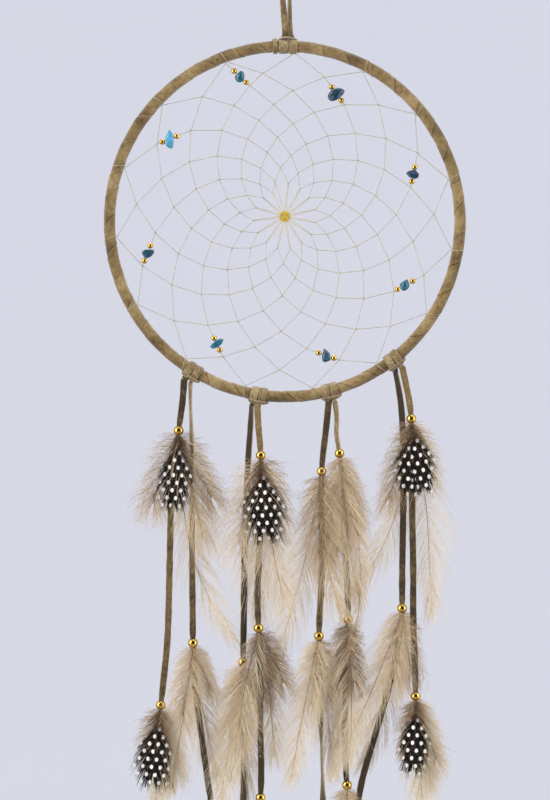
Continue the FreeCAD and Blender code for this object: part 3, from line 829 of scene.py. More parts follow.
@dataclass(frozen=True)
class HangingLoop:
    """The doubled lace over the peg, and the short neck where it joins the hoop.

    Attributes:
        foot: Depth of the lace's two ends below the peg, in mm.
        feet: Sideways places of the ends, in mm.
        shins: Sideways places of the two sides further up, in mm.
        shin_height: Depth of the shins below the peg, in mm.
        foot_depth: How far each end stands in front of or behind the hoop's middle, in mm.
        route: Sideways place and height of the loop's other bends, going up, in mm.
        crown: Height of the loop's top, in mm.
        length: Length of the lace, in metres.
        neck_twists: How far each side is turned at its end, in degrees.
        turns: The knot's turns, as HoopKnot has them.
        strap: Sideways places, in mm, of the ends of the strap that crosses the knot.
        strap_drop: Depth of the strap below the lace's ends, in mm.
    """

    foot: float = 53.1
    feet: tuple[float, float] = (0.3, 2.3)
    shins: tuple[float, float] = (-1.0, 1.6)
    shin_height: float = 38.0
    foot_depth: float = 0.45
    route: tuple[tuple[float, float], ...] = ((4.15, -11.86), (4.384, -3.0), (3.1, 0.1))
    crown: float = 1.384
    length: float = 0.1132
    neck_twists: tuple[float, float] = (-10.0, 42.0)
    turns: tuple[tuple[float, float], ...] = ((4.15, 0.95), (0.6, 2.0), (-3.45, 1.75))
    strap: tuple[float, float] = (-2.1, 3.6)
    strap_drop: float = 2.75

    def control_points(self) -> np.ndarray:
        """The lace's route, up the left side and down the right one."""
        side = np.array(self.route)
        left = np.column_stack([-side[:, 0], np.zeros(len(side)), side[:, 1]])
        left_foot, right_foot, left_shin, right_shin = (
            (x, sign * self.foot_depth, -height) for places, height in (
                (self.feet, self.foot), (self.shins, self.shin_height)) for x, sign in zip(places, (-1, 1)))
        return np.concatenate([[left_foot, left_shin], left, [(0, 0, self.crown)], left[::-1] * (-1, 1, 1),
                               [right_shin, right_foot]]) * MM

    def build(self, wardrobe: Wardrobe, lace: Lace, hoop: Hoop) -> None:
        """Build the loop, whose lace turns edge-on at the neck and lies flat over the peg, and the neck."""
        rng = np.random.default_rng(5)
        line = nurbs_line(self.control_points(), 0.5 * MM)
        share = travelled(line) / travelled(line)[-1]
        flat = np.sin(math.pi * share) ** 0.8
        left, right = (np.radians(twist + (90 - twist) * flat) for twist in self.neck_twists)
        twist = np.where(share < 0.5, left, math.pi - right)
        across = unit(np.cross(headings(line), FRONT))
        side = turned(across, -FRONT, twist)
        piece = Piece("hanging_lace")
        lace.carry(piece, line, side, rng, 0.42 + 0.08 * share)
        foot = np.array([0, 0, -self.foot * MM])
        made = wardrobe.dress(piece, Finish.LACE, "hanger", "hanging_loop", bends_to="hoop",
                              start=foot * 0.2, end=foot * 0.97)
        wardrobe.dress(self.knot(lace, hoop), Finish.LACE, "hoop", "hanger_knot")

    def knot(self, lace: Lace, hoop: Hoop) -> Piece:
        """The knot over the hoop's top: three turns, a thin crossing strap, and the laces that flare into it."""
        knot = HoopKnot("hanger_knot_lace", "hanger_knot", 0.0, self.turns, 0.3, 0.46, rise=0.1, bed=0.35)
        piece = knot.build(hoop, lace)
        rng = np.random.default_rng(8)
        top = hoop.centre[2] + hoop.radius + hoop.section
        share = np.linspace(0, 1, 24)
        strap = np.linspace(*self.strap, 24)
        bow = (strap - 0.75) ** 2
        line = np.column_stack([strap, -2.75 + 0.16 * bow, -self.foot - self.strap_drop - 0.06 * bow])
        lace.carry(piece, line * MM, np.broadcast_to(-DOWNWARD, line.shape), rng, 0.85, width=0.32 * MM)
        for foot, end, sign, twist in zip(self.feet, (-0.6, 3.45), (-1, 1), self.neck_twists):
            across = (foot + (end - foot) * share ** 2) * MM
            height = -self.foot * MM + (top - 0.6 * MM + self.foot * MM) * share
            depth = (sign * self.foot_depth * (1 - share) - 2.3 * share ** 3) * MM
            line = np.column_stack([across, depth, height])
            turn = np.radians(twist * (1 - share))
            side = np.column_stack([np.cos(turn), np.sin(turn), np.zeros(24)])
            lace.carry(piece, line, side, rng, 0.42 + 0.04 * sign, width=lace.width + 0.45 * MM * share ** 2)
        return piece


@dataclass(frozen=True)
class Web:
    """The sinew web: every later hitch hooks over the middle of the thread one round further out.

    Attributes:
        hitches: Places of the hitches on the hoop, degrees clockwise from the top.
        depths: Rounds there would be if the web closed to a point.
        crowding: Power by which the rounds shrink.
        last_depth: Round at which the web ends.
        tie: How far the first end is tied from the first hitch, in degrees.
        turn_aside: How far the turns round the hoop lie from their hitches, in degrees.
        rise: Height of the hub over the hoop's centre.
        hub_bend: Distance of the innermost bends from the hub.
        hub_spread: Distance between the hub's two strands where they pass a hitch, halved.
        hub_reach: Radius of the coil wound over the hub.
        thread: Half thickness of the thread.
        bend: Distance of the outer hitches from the hoop.
        offset: Distance that a thread passes before or behind another.
    """

    hitches: tuple[float, ...] = (-20.5, 3.5, 27.5, 50.5, 75.5, 99.5, 123.0, 147.0, 170.5, 193.5, 215.5, 240.5,
                                  264.5, 288.5, 313.5)
    depths: float = 11.0
    crowding: float = 1.3
    last_depth: float = 8.2
    tie: float = 1.0
    turn_aside: float = 0.6
    rise: float = 2.1 * MM
    hub_bend: float = 1.7 * MM
    hub_spread: float = 0.16 * MM
    hub_reach: float = 1.95 * MM
    thread: float = 0.16 * MM
    bend: float = 0.26 * MM
    offset: float = 0.24 * MM

    @property
    def round(self) -> int:
        """Hitches from a hitch to the one that pulls in the thread after it."""
        return len(self.hitches) + 1

    def nodes(self) -> list[tuple[float, float]]:
        """Angle in degrees and depth of each hitch."""
        nodes = [(angle, 0.0) for angle in self.hitches]
        nodes.append((self.hitches[0] + 360.0, 0.0))
        while nodes[-1][1] < self.last_depth:
            (angle_a, depth_a), (angle_b, depth_b) = nodes[-self.round], nodes[1 - self.round]
            nodes.append(((angle_a + angle_b) / 2 + 360.0, (depth_a + depth_b) / 2 + 1.0))
        return nodes

    def point(self, hoop: Hoop, angle: float, depth: float, offset: float) -> np.ndarray:
        """Place of a hitch: the rounds shrink by a power law while their centre rises to the hub."""
        rim = hoop.radius - hoop.section - self.bend
        share = (1 - depth / self.depths) ** self.crowding
        rise = np.array([0, offset, self.rise * (1 - share)])
        return hoop.centre + hoop.outward(math.radians(angle)) * rim * share + rise

    def corners(self, hoop: Hoop) -> np.ndarray:
        """Corners of the thread: hitch, then the bend that the next round pulls in, then the next hitch."""
        nodes = self.nodes()
        hub = hoop.centre + (0, self.offset, self.rise)
        corners = [self.point(hoop, nodes[0][0] + self.tie, 0, -self.offset)]
        for index, node in enumerate(nodes):
            pulled = index + self.round
            hitch = self.point(hoop, *node, -self.offset)
            if pulled > len(nodes) and index + 1 < len(nodes):
                aside = unit(np.cross(hitch - hub, -FRONT)) * self.hub_spread
                corners += [hitch + aside, hitch - aside]
            elif index:
                corners.append(hitch)
            if pulled < len(nodes):
                corners.append(self.point(hoop, *nodes[pulled], self.offset))
            elif index + 1 < len(nodes):
                toward = math.radians((node[0] + nodes[index + 1][0]) / 2)
                corners.append(hub + hoop.outward(toward) * self.hub_bend)
        return np.array(corners)

    def gold(self, hoop: Hoop, points: np.ndarray) -> np.ndarray:
        """Golden wax, from 1 at the hub to 0 a little under 9 mm from it."""
        far = np.linalg.norm(points - hoop.centre - (0, 0, self.rise), axis=-1)
        return np.clip(1.1 - far / (8 * MM), 0, 1) ** 1.2

    def build(self, wardrobe: Wardrobe, hoop: Hoop) -> None:
        """Build the thread, the hitches' small knots, the hub's coil and the turns round the hoop."""
        piece = Piece("web_sinew")
        corners = self.corners(hoop)
        back = corners[:-2] - corners[1:-1]
        ahead = corners[2:] - corners[1:-1]
        room = np.minimum(np.linalg.norm(back, axis=1), np.linalg.norm(ahead, axis=1))
        reach = np.minimum(0.42 * MM, 0.45 * room)[:, None]
        share = np.linspace(0, 1, 5)[None, :, None]
        entry, leave = unit(back) * reach, unit(ahead) * reach
        bends = corners[1:-1, None] + entry[:, None] * (1 - share) ** 2 + leave[:, None] * share ** 2
        line = np.concatenate([corners[:1], bends.reshape(-1, 3), corners[-1:]])
        thin = self.thread * (0.62 + 0.38 * np.clip(np.linalg.norm(line - hoop.centre, axis=1) / (22 * MM), 0, 1))
        self.wind(piece, line, thin * 0.85, thin, 7, self.gold(hoop, line)[:, None])
        self.add_knots(piece, hoop)
        self.add_hub(piece, hoop)
        self.add_hoop_turns(piece, hoop)
        wardrobe.dress(piece, Finish.SINEW, "hoop", "sinew_web")

    def wind(self, piece: Piece, line: np.ndarray, width: np.ndarray | float, depth: np.ndarray | float,
             columns: int, gold: np.ndarray | float) -> None:
        """Sweep sinew of a half width and half depth along a line."""
        sweep(piece, line, np.broadcast_to(FRONT, line.shape), width, depth, columns, gold=gold,
              across=angles(columns) * self.thread, along=travelled(line)[:, None])

    def add_knots(self, piece: Piece, hoop: Hoop) -> None:
        """A small loop of sinew round the outer thread at every hitch."""
        nodes = self.nodes()
        rows, columns, radius, tube = 9, 5, 0.34 * MM, 0.15 * MM
        spots, before, after = (
            np.array([self.point(hoop, *node, 0.0) for node in some])
            for some in (nodes[self.round:], nodes[:-self.round], nodes[1:len(nodes) - self.round + 1]))
        axis = unit(after - before)[:, None, None]
        first = np.cross(axis, FRONT)
        turn = angles(rows)[None, :, None, None]
        pull = angles(columns)[None, None, :, None]
        out = np.cos(turn) * first + np.sin(turn) * FRONT
        shift = axis * tube * 1.3 * np.sin(turn)
        points = spots[:, None, None] + out * (radius + tube * np.cos(pull)) + axis * tube * np.sin(pull) + shift
        faces = repeated(tube_faces(rows, columns, closed=True), len(spots), rows * columns)
        piece.add(points, faces, gold=self.gold(hoop, spots)[:, None, None], across=0.0,
                  along=np.arange(rows)[:, None] * radius)

    def add_hub(self, piece: Piece, hoop: Hoop) -> None:
        """The tied-off end, wound over the hub as a rose: its radius is a cosine of 1.13 times its turn."""
        turn = np.linspace(0, 26 * TURN, 1500)
        reach = self.hub_reach * np.cos(1.13 * turn) * (1 + 0.12 * np.sin(0.61 * turn))
        line = hoop.centre + hoop.outward(turn) * reach[:, None] + (0, 0, self.rise)
        line = line + (0.34 * MM * np.sin(0.37 * turn))[:, None] * FRONT
        self.wind(piece, line, self.thread * 0.8, self.thread * 0.8, 5, 1.0)

    def add_hoop_turns(self, piece: Piece, hoop: Hoop) -> None:
        """A slanted turn of sinew over the suede at each hitch on the hoop, pulled a little into it."""
        rows, columns = 40, 7
        turn = angles(rows)
        pull = angles(columns)[None, :, None]
        for index, angle in enumerate(self.hitches):
            slant = (1.6 + 0.5 * math.sin(2.1 * index)) * MM * (1 + np.cos(turn)) / 2
            clock = math.radians(angle + self.turn_aside) - slant / hoop.radius
            line = hoop.round_tube(clock, turn, hoop.section + 0.1 * MM)
            around = unit(np.roll(line, -1, 0) - np.roll(line, 1, 0))[:, None]
            out = unit(line - hoop.round_tube(clock, turn, 0.0))[:, None]
            aside = np.cross(around, out)
            points = line[:, None] + self.thread * (out * np.cos(pull) * 0.7 + aside * np.sin(pull) * 0.8)
            piece.add(points, tube_faces(rows, columns, closed=True), gold=0.0,
                      across=angles(columns) * self.thread, along=turn[:, None] * hoop.section)


@dataclass(frozen=True)
class Bead:
    """A drilled round bead: its outside, rolled lips and bore, as one surface of revolution."""

    radius: float
    bore: float

    def add(self, piece: Piece, centre: np.ndarray, axis: np.ndarray, columns: int = 28) -> None:
        """Turn the bead's closed outline round its axis.

        Args:
            piece: Piece that gets the bead.
            centre: Its middle.
            axis: Direction of its bore.
            columns: Points round it.
        """
        lip = 0.12 * self.radius
        mouth = math.asin((self.bore + lip) / self.radius)
        polar = np.linspace(mouth, math.pi - mouth, 19)
        out = np.column_stack([np.sin(polar), np.cos(polar)]) * self.radius
        top = out[0, 1]
        bend = np.linspace(0.15, 1, 4) * math.pi / 2
        lower = np.column_stack([self.bore + lip * (1 - np.sin(bend)),
                                 -top + lip * (1 - np.cos(bend)) - lip * 0.25])
        upper = lower[::-1] * (1, -1)
        outline = np.concatenate([out, lower, upper])
        axis = unit(np.asarray(axis, float))
        first = unit(np.cross(axis, (0.31, 0.2, 0.93)))
        second = np.cross(axis, first)
        ring = turned(first, second, angles(columns))
        points = centre + outline[:, 0, None, None] * ring + outline[:, 1, None, None] * axis
        piece.add(points, tube_faces(len(outline), columns, closed=True))


@dataclass(frozen=True)
class Charm:
    """A tumbled chip on its thread of the web, between two spacer beads.

    Attributes:
        halves: Chip's half sizes in mm: across, front to back, and long.
        lean: Degrees that its long side leans to the right.
        spacing: Distance of the spacers from its middle, in mm.
        tone: 0 for deep teal to 1 for sky blue.
        point: How much its upper end narrows.
    """

    halves: tuple[float, float, float]
    lean: float
    spacing: float
    tone: float
    point: float = 0.0
    rows: int = 30
    columns: int = 44

    def chip(self, piece: Piece, centre: np.ndarray, axis: np.ndarray, rng: np.random.Generator) -> None:
        """A tumbled stone: an ellipsoid cut by random flats, worn smooth, with a dimple at each end of its hole.

        Each flat limits the radius in a direction to its distance over the direction's cosine with it, and a
        power mean of the limits rounds the edges between them.
        """
        polar = np.linspace(0, math.pi, self.rows)[:, None]
        turn = angles(self.columns)[None, :]
        way = np.stack(np.broadcast_arrays(np.sin(polar) * np.cos(turn), np.sin(polar) * np.sin(turn),
                                           np.cos(polar)), -1)
        limit = (np.abs(way) ** 2.3).sum(-1) ** (9 / 2.3)
        for flat in unit(rng.normal(size=(15, 3))):
            facing = np.maximum((way * flat).sum(-1), 1e-3)
            limit = limit + (facing / rng.uniform(0.74, 0.92)) ** 9
        radius = limit ** (-1 / 9)
        wobble = 0.03 * np.sin(5 * way[..., 0] + 3 * way[..., 2]) + 0.02 * np.sin(9 * way[..., 1] - 7 * way[..., 2])
        radius = radius * (1.05 + wobble)
        narrow = 1 - self.point * np.clip(way[..., 2:], 0, 1) ** 1.5
        lean = math.radians(self.lean)
        axes = np.array([(math.cos(lean), 0, -math.sin(lean)), (0, 1, 0), (math.sin(lean), 0, math.cos(lean))])
        shaped = way * radius[..., None] * np.concatenate([narrow, narrow, np.ones_like(narrow)], -1)
        points = (shaped * np.array(self.halves) * MM) @ axes
        hole = np.abs((unit(points) * axis).sum(-1))
        points = points * (1 - 0.22 * np.exp(-(1 - hole) / 0.012))[..., None]
        points[0], points[-1] = points[0].mean(0), points[-1].mean(0)
        used, faces = self.closed_faces()
        piece.add(centre + points.reshape(-1, 3)[used], faces, tone=self.tone)

    def closed_faces(self) -> tuple[np.ndarray, list[np.ndarray]]:
        """The grid's points with each pole taken once, and the quads and the poles' triangles over them."""
        ring = np.arange(self.columns)
        after = (ring + 1) % self.columns
        inner = np.arange(1, self.rows - 2)[:, None] * self.columns
        quads = np.stack([inner + ring, inner + after, inner + self.columns + after, inner + self.columns + ring],
                         -1).reshape(-1, 4)
        last = (self.rows - 2) * self.columns
        caps = np.concatenate([np.stack([0 * ring, self.columns + after, self.columns + ring], -1),
                               np.stack([0 * ring + last + self.columns, last + ring, last + after], -1)])
        used = np.concatenate([[0], np.arange(self.columns, last + self.columns), [last + self.columns]])
        renumber = np.zeros(self.rows * self.columns, int)
        renumber[used] = np.arange(len(used))
        return used, [renumber[quads], renumber[caps]]

    def build(self, wardrobe: Wardrobe, number: int, joint: dict) -> None:
        """Build the chip and its spacers where the frame's joint has them."""
        rng = np.random.default_rng(20 + number)
        centre, axis = np.array(joint["pos_m"]), unit(np.array(joint["axis"], float))
        stone = Piece(f"charm_{number}_chip")
        self.chip(stone, centre, axis, rng)
        wardrobe.dress(stone, Finish.STONE, f"chip_{number}", f"turquoise_chip_{number}")
        beads = Piece(f"charm_{number}_spacers")
        for side in (-1, 1):
            Bead(1.25 * MM, 0.45 * MM).add(beads, centre + side * self.spacing * MM * axis, axis)
        wardrobe.dress(beads, Finish.GOLD, f"spacer_pair_{number}", f"spacer_beads_{number}")


class Tone(Enum):
    """Shades of a feather, at its root and at its tip, from 0, cream, to 1, the darkest."""

    CREAM = (0.3, 0.1)
    SAND = (0.48, 0.2)
    TAN = (0.68, 0.4)
    BROWN = (1.0, 0.68)
    SMOKE = (0.8, 0.3)


@dataclass(frozen=True)
class Plume:
    """One feather of a bundle.

    Attributes:
        lean: Degrees that it leans towards +X at its root.
        bow: Degrees that it turns further towards +X by its tip.
        length: Length of its shaft, in mm.
        width: Widest part of its vane, in mm.
        tone: Its shade.
        layer: Place from front to back: -1 is just in front of the lace, -2 is before that, 1 is just behind.
        face: Degrees that its vane is turned from facing front.
    """

    lean: float
    bow: float
    length: float
    width: float
    tone: Tone
    layer: float = -1.0
    face: float = 0.0


@dataclass(frozen=True)
class FeatherKind:
    """How the barbs of one sort of feather stand on its shaft.

    Attributes:
        name: The kind's name in a bundle and in a piece's name.
        node: Start of the names of the frame nodes that it replaces.
        finish: What it is made of.
        barbs: Barbs on each side.
        outline: Shares of the shaft, and the barbs' reach there as a share of half the width.
        slant: Angle between barb and shaft at the root and at the tip, degrees.
        curl: How far a barb turns towards the tip along its length, radians.
        loose: Spread out of the vane at the root and past the downy part, radians.
        downy: Share of the shaft that the downy part covers.
        wave: Waviness of a barb, radians.
        barb: Half width of a barb.
        steps: Points along a barb.
        fuzz: Barbules on each barb.
        shaft: Shaft's radius at the root.
        dotted: The vane past the downy part carries white dots.
        longest: Most that a barb may be, as a share of its reach.
    """

    name: str
    node: str
    finish: Finish
    barbs: int
    outline: tuple[tuple[float, float], ...]
    slant: tuple[float, float]
    curl: float
    loose: tuple[float, float]
    downy: float
    wave: float
    barb: float
    steps: int
    fuzz: int
    shaft: float
    dotted: bool = False
    longest: float = 2.4


DOWN = FeatherKind(
    "down", "fluff", Finish.DOWN, barbs=175,
    outline=((0, 0.7), (0.1, 1.0), (0.35, 1.0), (0.7, 0.85), (1, 0.6)), slant=(90, 26),
    curl=0.65, loose=(0.75, 0.7), downy=1.0, wave=0.9, barb=0.07 * MM, steps=6, fuzz=10, shaft=0.18 * MM)
HACKLE = FeatherKind(
    "hackles", "hackles", Finish.HACKLE, barbs=190,
    outline=((0, 0.8), (0.12, 1.0), (0.35, 0.95), (0.6, 0.8), (0.85, 0.6), (1, 0.3)), slant=(54, 17),
    curl=0.4, loose=(0.6, 0.1), downy=0.34, wave=0.2, barb=0.08 * MM, steps=6, fuzz=2, shaft=0.26 * MM)
GUINEA = FeatherKind(
    "guinea", "spotted_feathers", Finish.GUINEA, barbs=200,
    outline=((0, 0.35), (0.2, 0.75), (0.45, 1.0), (0.75, 0.95), (0.92, 0.65), (1, 0.25)), slant=(58, 18),
    curl=0.35, loose=(0.4, 0.04), downy=0.27, wave=0.12, barb=0.15 * MM, steps=7, fuzz=1, shaft=0.22 * MM,
    dotted=True, longest=1.6)


class Plumage:
    """Builds feathers of one kind into a piece.

    Attributes:
        deepest: Barbs flatten out towards this distance in front of the hoop's middle or behind it.
        dot_shift: How far the rows of white dots are moved across the vane.
    """

    deepest = 12.3 * MM
    dot_shift = 0.9 * MM

    def __init__(self, piece: Piece, kind: FeatherKind, seed: int) -> None:
        """Start with a piece, a kind of feather and a seed of its own."""
        self.piece = piece
        self.kind = kind
        self.rng = np.random.default_rng(seed)

    def shaft(self, plume: Plume, root: np.ndarray) -> tuple[np.ndarray, np.ndarray]:
        """Line of the shaft, hanging from its root and bowing sideways, and the direction across the vane."""
        share = np.linspace(0, 1, 28)
        heading = np.radians(plume.lean + plume.bow * share ** 1.3 + 3 * drift(share, self.rng, 1.2))
        away = math.copysign(0.03, plume.layer) * (1 - 1.6 * share) - self.kind.dotted * 0.4 * (1 - share)
        way = unit(np.column_stack([np.sin(heading), away, -np.cos(heading)]))
        step = plume.length * MM / (len(share) - 1)
        line = root + np.concatenate([np.zeros((1, 3)), np.cumsum((way[1:] + way[:-1]) / 2, axis=0)]) * step
        across = unit(np.cross(FRONT, way))
        return line, turned(across, np.cross(way, across), math.radians(plume.face))

    def add(self, plume: Plume, root: np.ndarray) -> None:
        """Add one feather: its shaft, its barbs on both sides, and their barbules."""
        line, across = self.shaft(plume, root)
        thick = self.kind.shaft * (1 - 0.85 * np.linspace(0, 1, len(line)) ** 0.8)
        sweep(self.piece, line, across, thick, thick * 0.8, 6, tone=0.5, shaft=0.85, dotted=0.0, across=0.0,
              along=travelled(line)[:, None])
        for side in (-1, 1):
            self.add_barbs(plume, line, across * side)

    def add_barbs(self, plume: Plume, line: np.ndarray, across: np.ndarray) -> None:
        """Barbs of one side: each starts on the shaft, leans from it by the slant and curls towards the tip.

        Args:
            plume: The feather.
            line: Its shaft.
            across: Direction away from the shaft on this side.
        """
        kind, rng = self.kind, self.rng
        count = kind.barbs
        spot = np.sort((np.arange(count) + rng.uniform(0, 1, count)) / count) ** 0.95
        at, marks = spot * (len(line) - 1), np.arange(len(line))
        start, out = read_at(at, marks, line), unit(read_at(at, marks, across))
        ahead = unit(read_at(at, marks, np.gradient(line, axis=0)))
        normal = np.cross(out, ahead)
        clumps = drift(spot, rng, 9.0, 7)
        length, slant = self.lengths(plume, spot, clumps)
        downy = 1 / (1 + np.exp((spot - kind.downy) / 0.03)) if kind.downy < 1 else np.ones_like(spot)
        spread = kind.loose[1] + (kind.loose[0] - kind.loose[1]) * downy
        lift = spread * (0.6 * drift(spot, rng, 7.0, 7) + 0.6 * rng.normal(size=count))
        part = np.linspace(0, 1, kind.steps)[None, :]
        sway = kind.wave * (0.35 + 0.65 * downy[:, None]) * part * np.sin(
            TURN * (part * rng.uniform(0.5, 1.3, (count, 1)) + rng.uniform(0, 1, (count, 1))))
        angle = slant[:, None] - kind.curl * part + sway
        rise = lift[:, None] * (1 - 0.5 * part) + sway[::-1] * 0.7 * downy[:, None]
        way = (np.cos(angle)[..., None] * ahead[:, None] + np.sin(angle)[..., None] * out[:, None]
               + np.sin(rise)[..., None] * normal[:, None])
        way = unit(way + 0.2 * downy[:, None, None] * part[..., None] * DOWNWARD)
        step = (length / (kind.steps - 1))[:, None, None]
        run = np.concatenate([np.zeros((count, 1, 3)), np.cumsum((way[:, 1:] + way[:, :-1]) / 2, axis=1)], 1)
        lines = start[:, None] + run * step
        lines[..., 1] = self.deepest * np.tanh(lines[..., 1] / self.deepest)
        vane = 1 - downy if kind.dotted else np.zeros_like(spot)
        width = kind.barb * (1 - 0.82 * part ** (2.2 if kind.dotted else 1.4))
        width = width * (1 - 0.5 * downy[:, None] * kind.dotted)
        tone = self.tones(plume, spot, part, vane, clumps)
        down = unit(line[-1] - line[0])
        flat = (lines - line[0]) @ np.column_stack([unit(np.cross(FRONT, down)), down])
        strands(self.piece, lines, normal, width, 0.45, tone=tone[..., None], shaft=0.0,
                dotted=vane[:, None, None], across=flat[..., :1] + self.dot_shift, along=flat[..., 1:])
        self.add_fuzz(lines, way, normal, downy, tone)

    def lengths(self, plume: Plume, spot: np.ndarray, clumps: np.ndarray) -> tuple[np.ndarray, np.ndarray]:
        """Each barb's length and slant: its reach from the shaft over the sine of its mean slant."""
        kind, rng = self.kind, self.rng
        keys, reaches = np.array(kind.outline).T
        reach = np.interp(spot, keys, reaches) * plume.width * MM / 2
        reach = reach * (1 + 0.12 * clumps + 0.12 * rng.normal(size=len(spot)))
        slant = np.radians(np.interp(spot, (0, 1), kind.slant)) + 0.1 * clumps + 0.06 * rng.normal(size=len(spot))
        length = np.maximum(reach, 0.5 * MM) / np.sin(np.clip(slant - kind.curl / 2, 0.3, 1.4))
        return np.minimum(length, kind.longest * np.maximum(reach, 1.2 * MM)), slant

    def tones(self, plume: Plume, spot: np.ndarray, part: np.ndarray, vane: np.ndarray,
              clumps: np.ndarray) -> np.ndarray:
        """Shade by barb and place on it: from root to tip of the feather, and paler in a dotted one's down."""
        if self.kind.dotted:
            base = 0.62 + 0.45 * vane + (0.16 if plume.tone is Tone.BROWN else 0.0)
            tone = base[:, None] - 0.2 * part * (1 - vane)[:, None] - 0.08 * part
        else:
            root, tip = plume.tone.value
            tone = root + (tip - root) * (0.55 * spot[:, None] + 0.45 * part)
        return tone + 0.06 * clumps[:, None] + 0.05 * self.rng.normal(size=(len(spot), 1))

    def add_fuzz(self, lines: np.ndarray, way: np.ndarray, normal: np.ndarray, downy: np.ndarray,
                 tone: np.ndarray) -> None:
        """Barbules: short closed spikes that leave a barb at random angles."""
        rng, kind = self.rng, self.kind
        barb = np.repeat(np.arange(len(lines)), kind.fuzz)
        place = rng.uniform(0.15, 0.98, len(barb)) * (kind.steps - 1)
        before = place.astype(int)
        rest = (place - before)[:, None]
        root = lines[barb, before] * (1 - rest) + lines[barb, before + 1] * rest
        ahead = way[barb, before]
        aside = unit(np.cross(normal[barb], ahead))
        around = rng.uniform(0, TURN, len(barb))[:, None]
        out = np.cos(around) * aside + 0.6 * np.sin(around) * normal[barb]
        length = rng.uniform(0.6, 2.2, len(barb))[:, None] * MM * (0.35 + 0.65 * downy[barb][:, None])
        tip = root + unit(out + 0.9 * ahead) * length
        across = unit(np.cross(tip - root, ahead + 1e-4)) * kind.barb * 0.5
        up = unit(np.cross(tip - root, across)) * kind.barb * 0.4
        points = np.stack([root + across, root - across, root + up, tip], 1)
        faces = repeated([np.array([(0, 1, 2), (1, 0, 3), (2, 1, 3), (0, 2, 3)])], len(barb), 4)
        self.piece.add(points, faces, tone=np.clip(tone[barb, before] - 0.05, 0, 1)[:, None], shaft=0.0, dotted=0.0,
                       across=0.0, along=0.0)


@dataclass(frozen=True)
class Bundle:
    """Feathers glued into a bead's lower end."""

    down: tuple[Plume, ...] = ()
    hackles: tuple[Plume, ...] = ()
    guinea: tuple[Plume, ...] = ()


@dataclass(frozen=True)
class Tail:
    """One suede lace below a knot, with its beads and their feathers.

    Attributes:
        number: The tail's number, from the left.
        route: Places (x, z) in mm below the hanging point.
        beads: Heights of the beads, in mm.
        bundles: Feathers of each bead.
        twist: How far the lace is turned from facing front, at even places down it, degrees.
        tone: Shade of the lace, at even places down it.
        length: Length of the lace, in metres.
        bending: Length below the hanging point, given to the wardrobe as where the lace reaches its tail's body.
    """

    number: int
    route: tuple[tuple[float, float], ...]
    beads: tuple[float, ...]
    bundles: tuple[Bundle, ...]
    twist: tuple[float, ...]
    tone: tuple[float, ...]
    length: float
    bending: float = 0.013

    def add_top(self, piece: Piece, lace: Lace, pivot: np.ndarray, knot: np.ndarray) -> None:
        """Add the lace's short top to the knot: from its hanging point up to the hoop's tube, under the turns."""
        share = np.linspace(0, 1, 14)[:, None]
        top = knot * (0.45, 1, 1) + pivot * (0.55, 0, 0) + (0, 0.0002 * self.number, -0.001)
        line = pivot + (0, 0, -0.0003) + (top - pivot) * share
        turn = math.radians(self.twist[0])
        side = np.broadcast_to((math.cos(turn), math.sin(turn), 0.0), line.shape)
        rng = np.random.default_rng(60 + self.number)
        lace.carry(piece, line, side, rng, self.tone[0] + 0.1 * share[:, 0], width=lace.width * 1.02)

    def build(self, wardrobe: Wardrobe, lace: Lace, pivot: np.ndarray) -> None:
        """Build the lace, its beads and its feathers below the frame's hanging point."""
        body, number = f"tail_{self.number}", self.number
        rng = np.random.default_rng(40 + number)
        route = np.array([(x * MM, pivot[1], z * MM) for x, z in self.route])
        line = nurbs_line(np.concatenate([pivot[None], route]), 0.7 * MM)
        far = travelled(line)
        heading = headings(line)
        spots = np.interp(-np.array(self.beads) * MM, -line[:, 2], far)
        share = far / far[-1]
        twist, tone = (np.interp(share, np.linspace(0, 1, len(values)), values) for values in (self.twist, self.tone))
        twist = np.radians(twist + 14 * drift(far, rng, 22.0))
        across = unit(np.cross(FRONT, heading))
        side = turned(across, np.cross(heading, across), twist)
        piece = Piece(f"tail_{number}_lace")
        lace.carry(piece, line, side, rng, tone, spots)
        laced = wardrobe.dress(piece, Finish.LACE, "hoop", f"lace_tail_{number}", bends_to=body,
                               start=pivot, end=pivot + (0, 0, -self.bending))
        beads = Piece(f"tail_{number}_beads")
        centres = read_at(spots, far, line)
        for centre, axis in zip(centres, read_at(spots, far, heading)):
            Bead(2.15 * MM, 1.16 * MM).add(beads, centre, axis, 36)
        beaded = wardrobe.dress(beads, Finish.GOLD, body, f"tail_beads_{number}")
        self.add_feathers(wardrobe, body, centres)

    def add_feathers(self, wardrobe: Wardrobe, body: str, centres: np.ndarray) -> None:
        """Add one piece for each kind of feather, from roots a little under the beads' middles."""
        for kind in (DOWN, HACKLE, GUINEA):
            feathers = Piece(f"tail_{self.number}_{kind.name}")
            plumage = Plumage(feathers, kind, 100 * self.number + len(kind.name))
            for centre, bundle in zip(centres, self.bundles):
                for index, plume in enumerate(getattr(bundle, kind.name)):
                    depth = math.copysign(1.1 + 0.55 * (abs(plume.layer) - 1), plume.layer) * MM
                    plumage.add(plume, centre + (0.25 * MM * math.sin(plume.lean + index), depth, -1.75 * MM))
            if feathers.count:
                wardrobe.dress(feathers, kind.finish, body, f"{kind.node}_{self.number}")


CREAM, SAND, TAN, BROWN, SMOKE = Tone.CREAM, Tone.SAND, Tone.TAN, Tone.BROWN, Tone.SMOKE

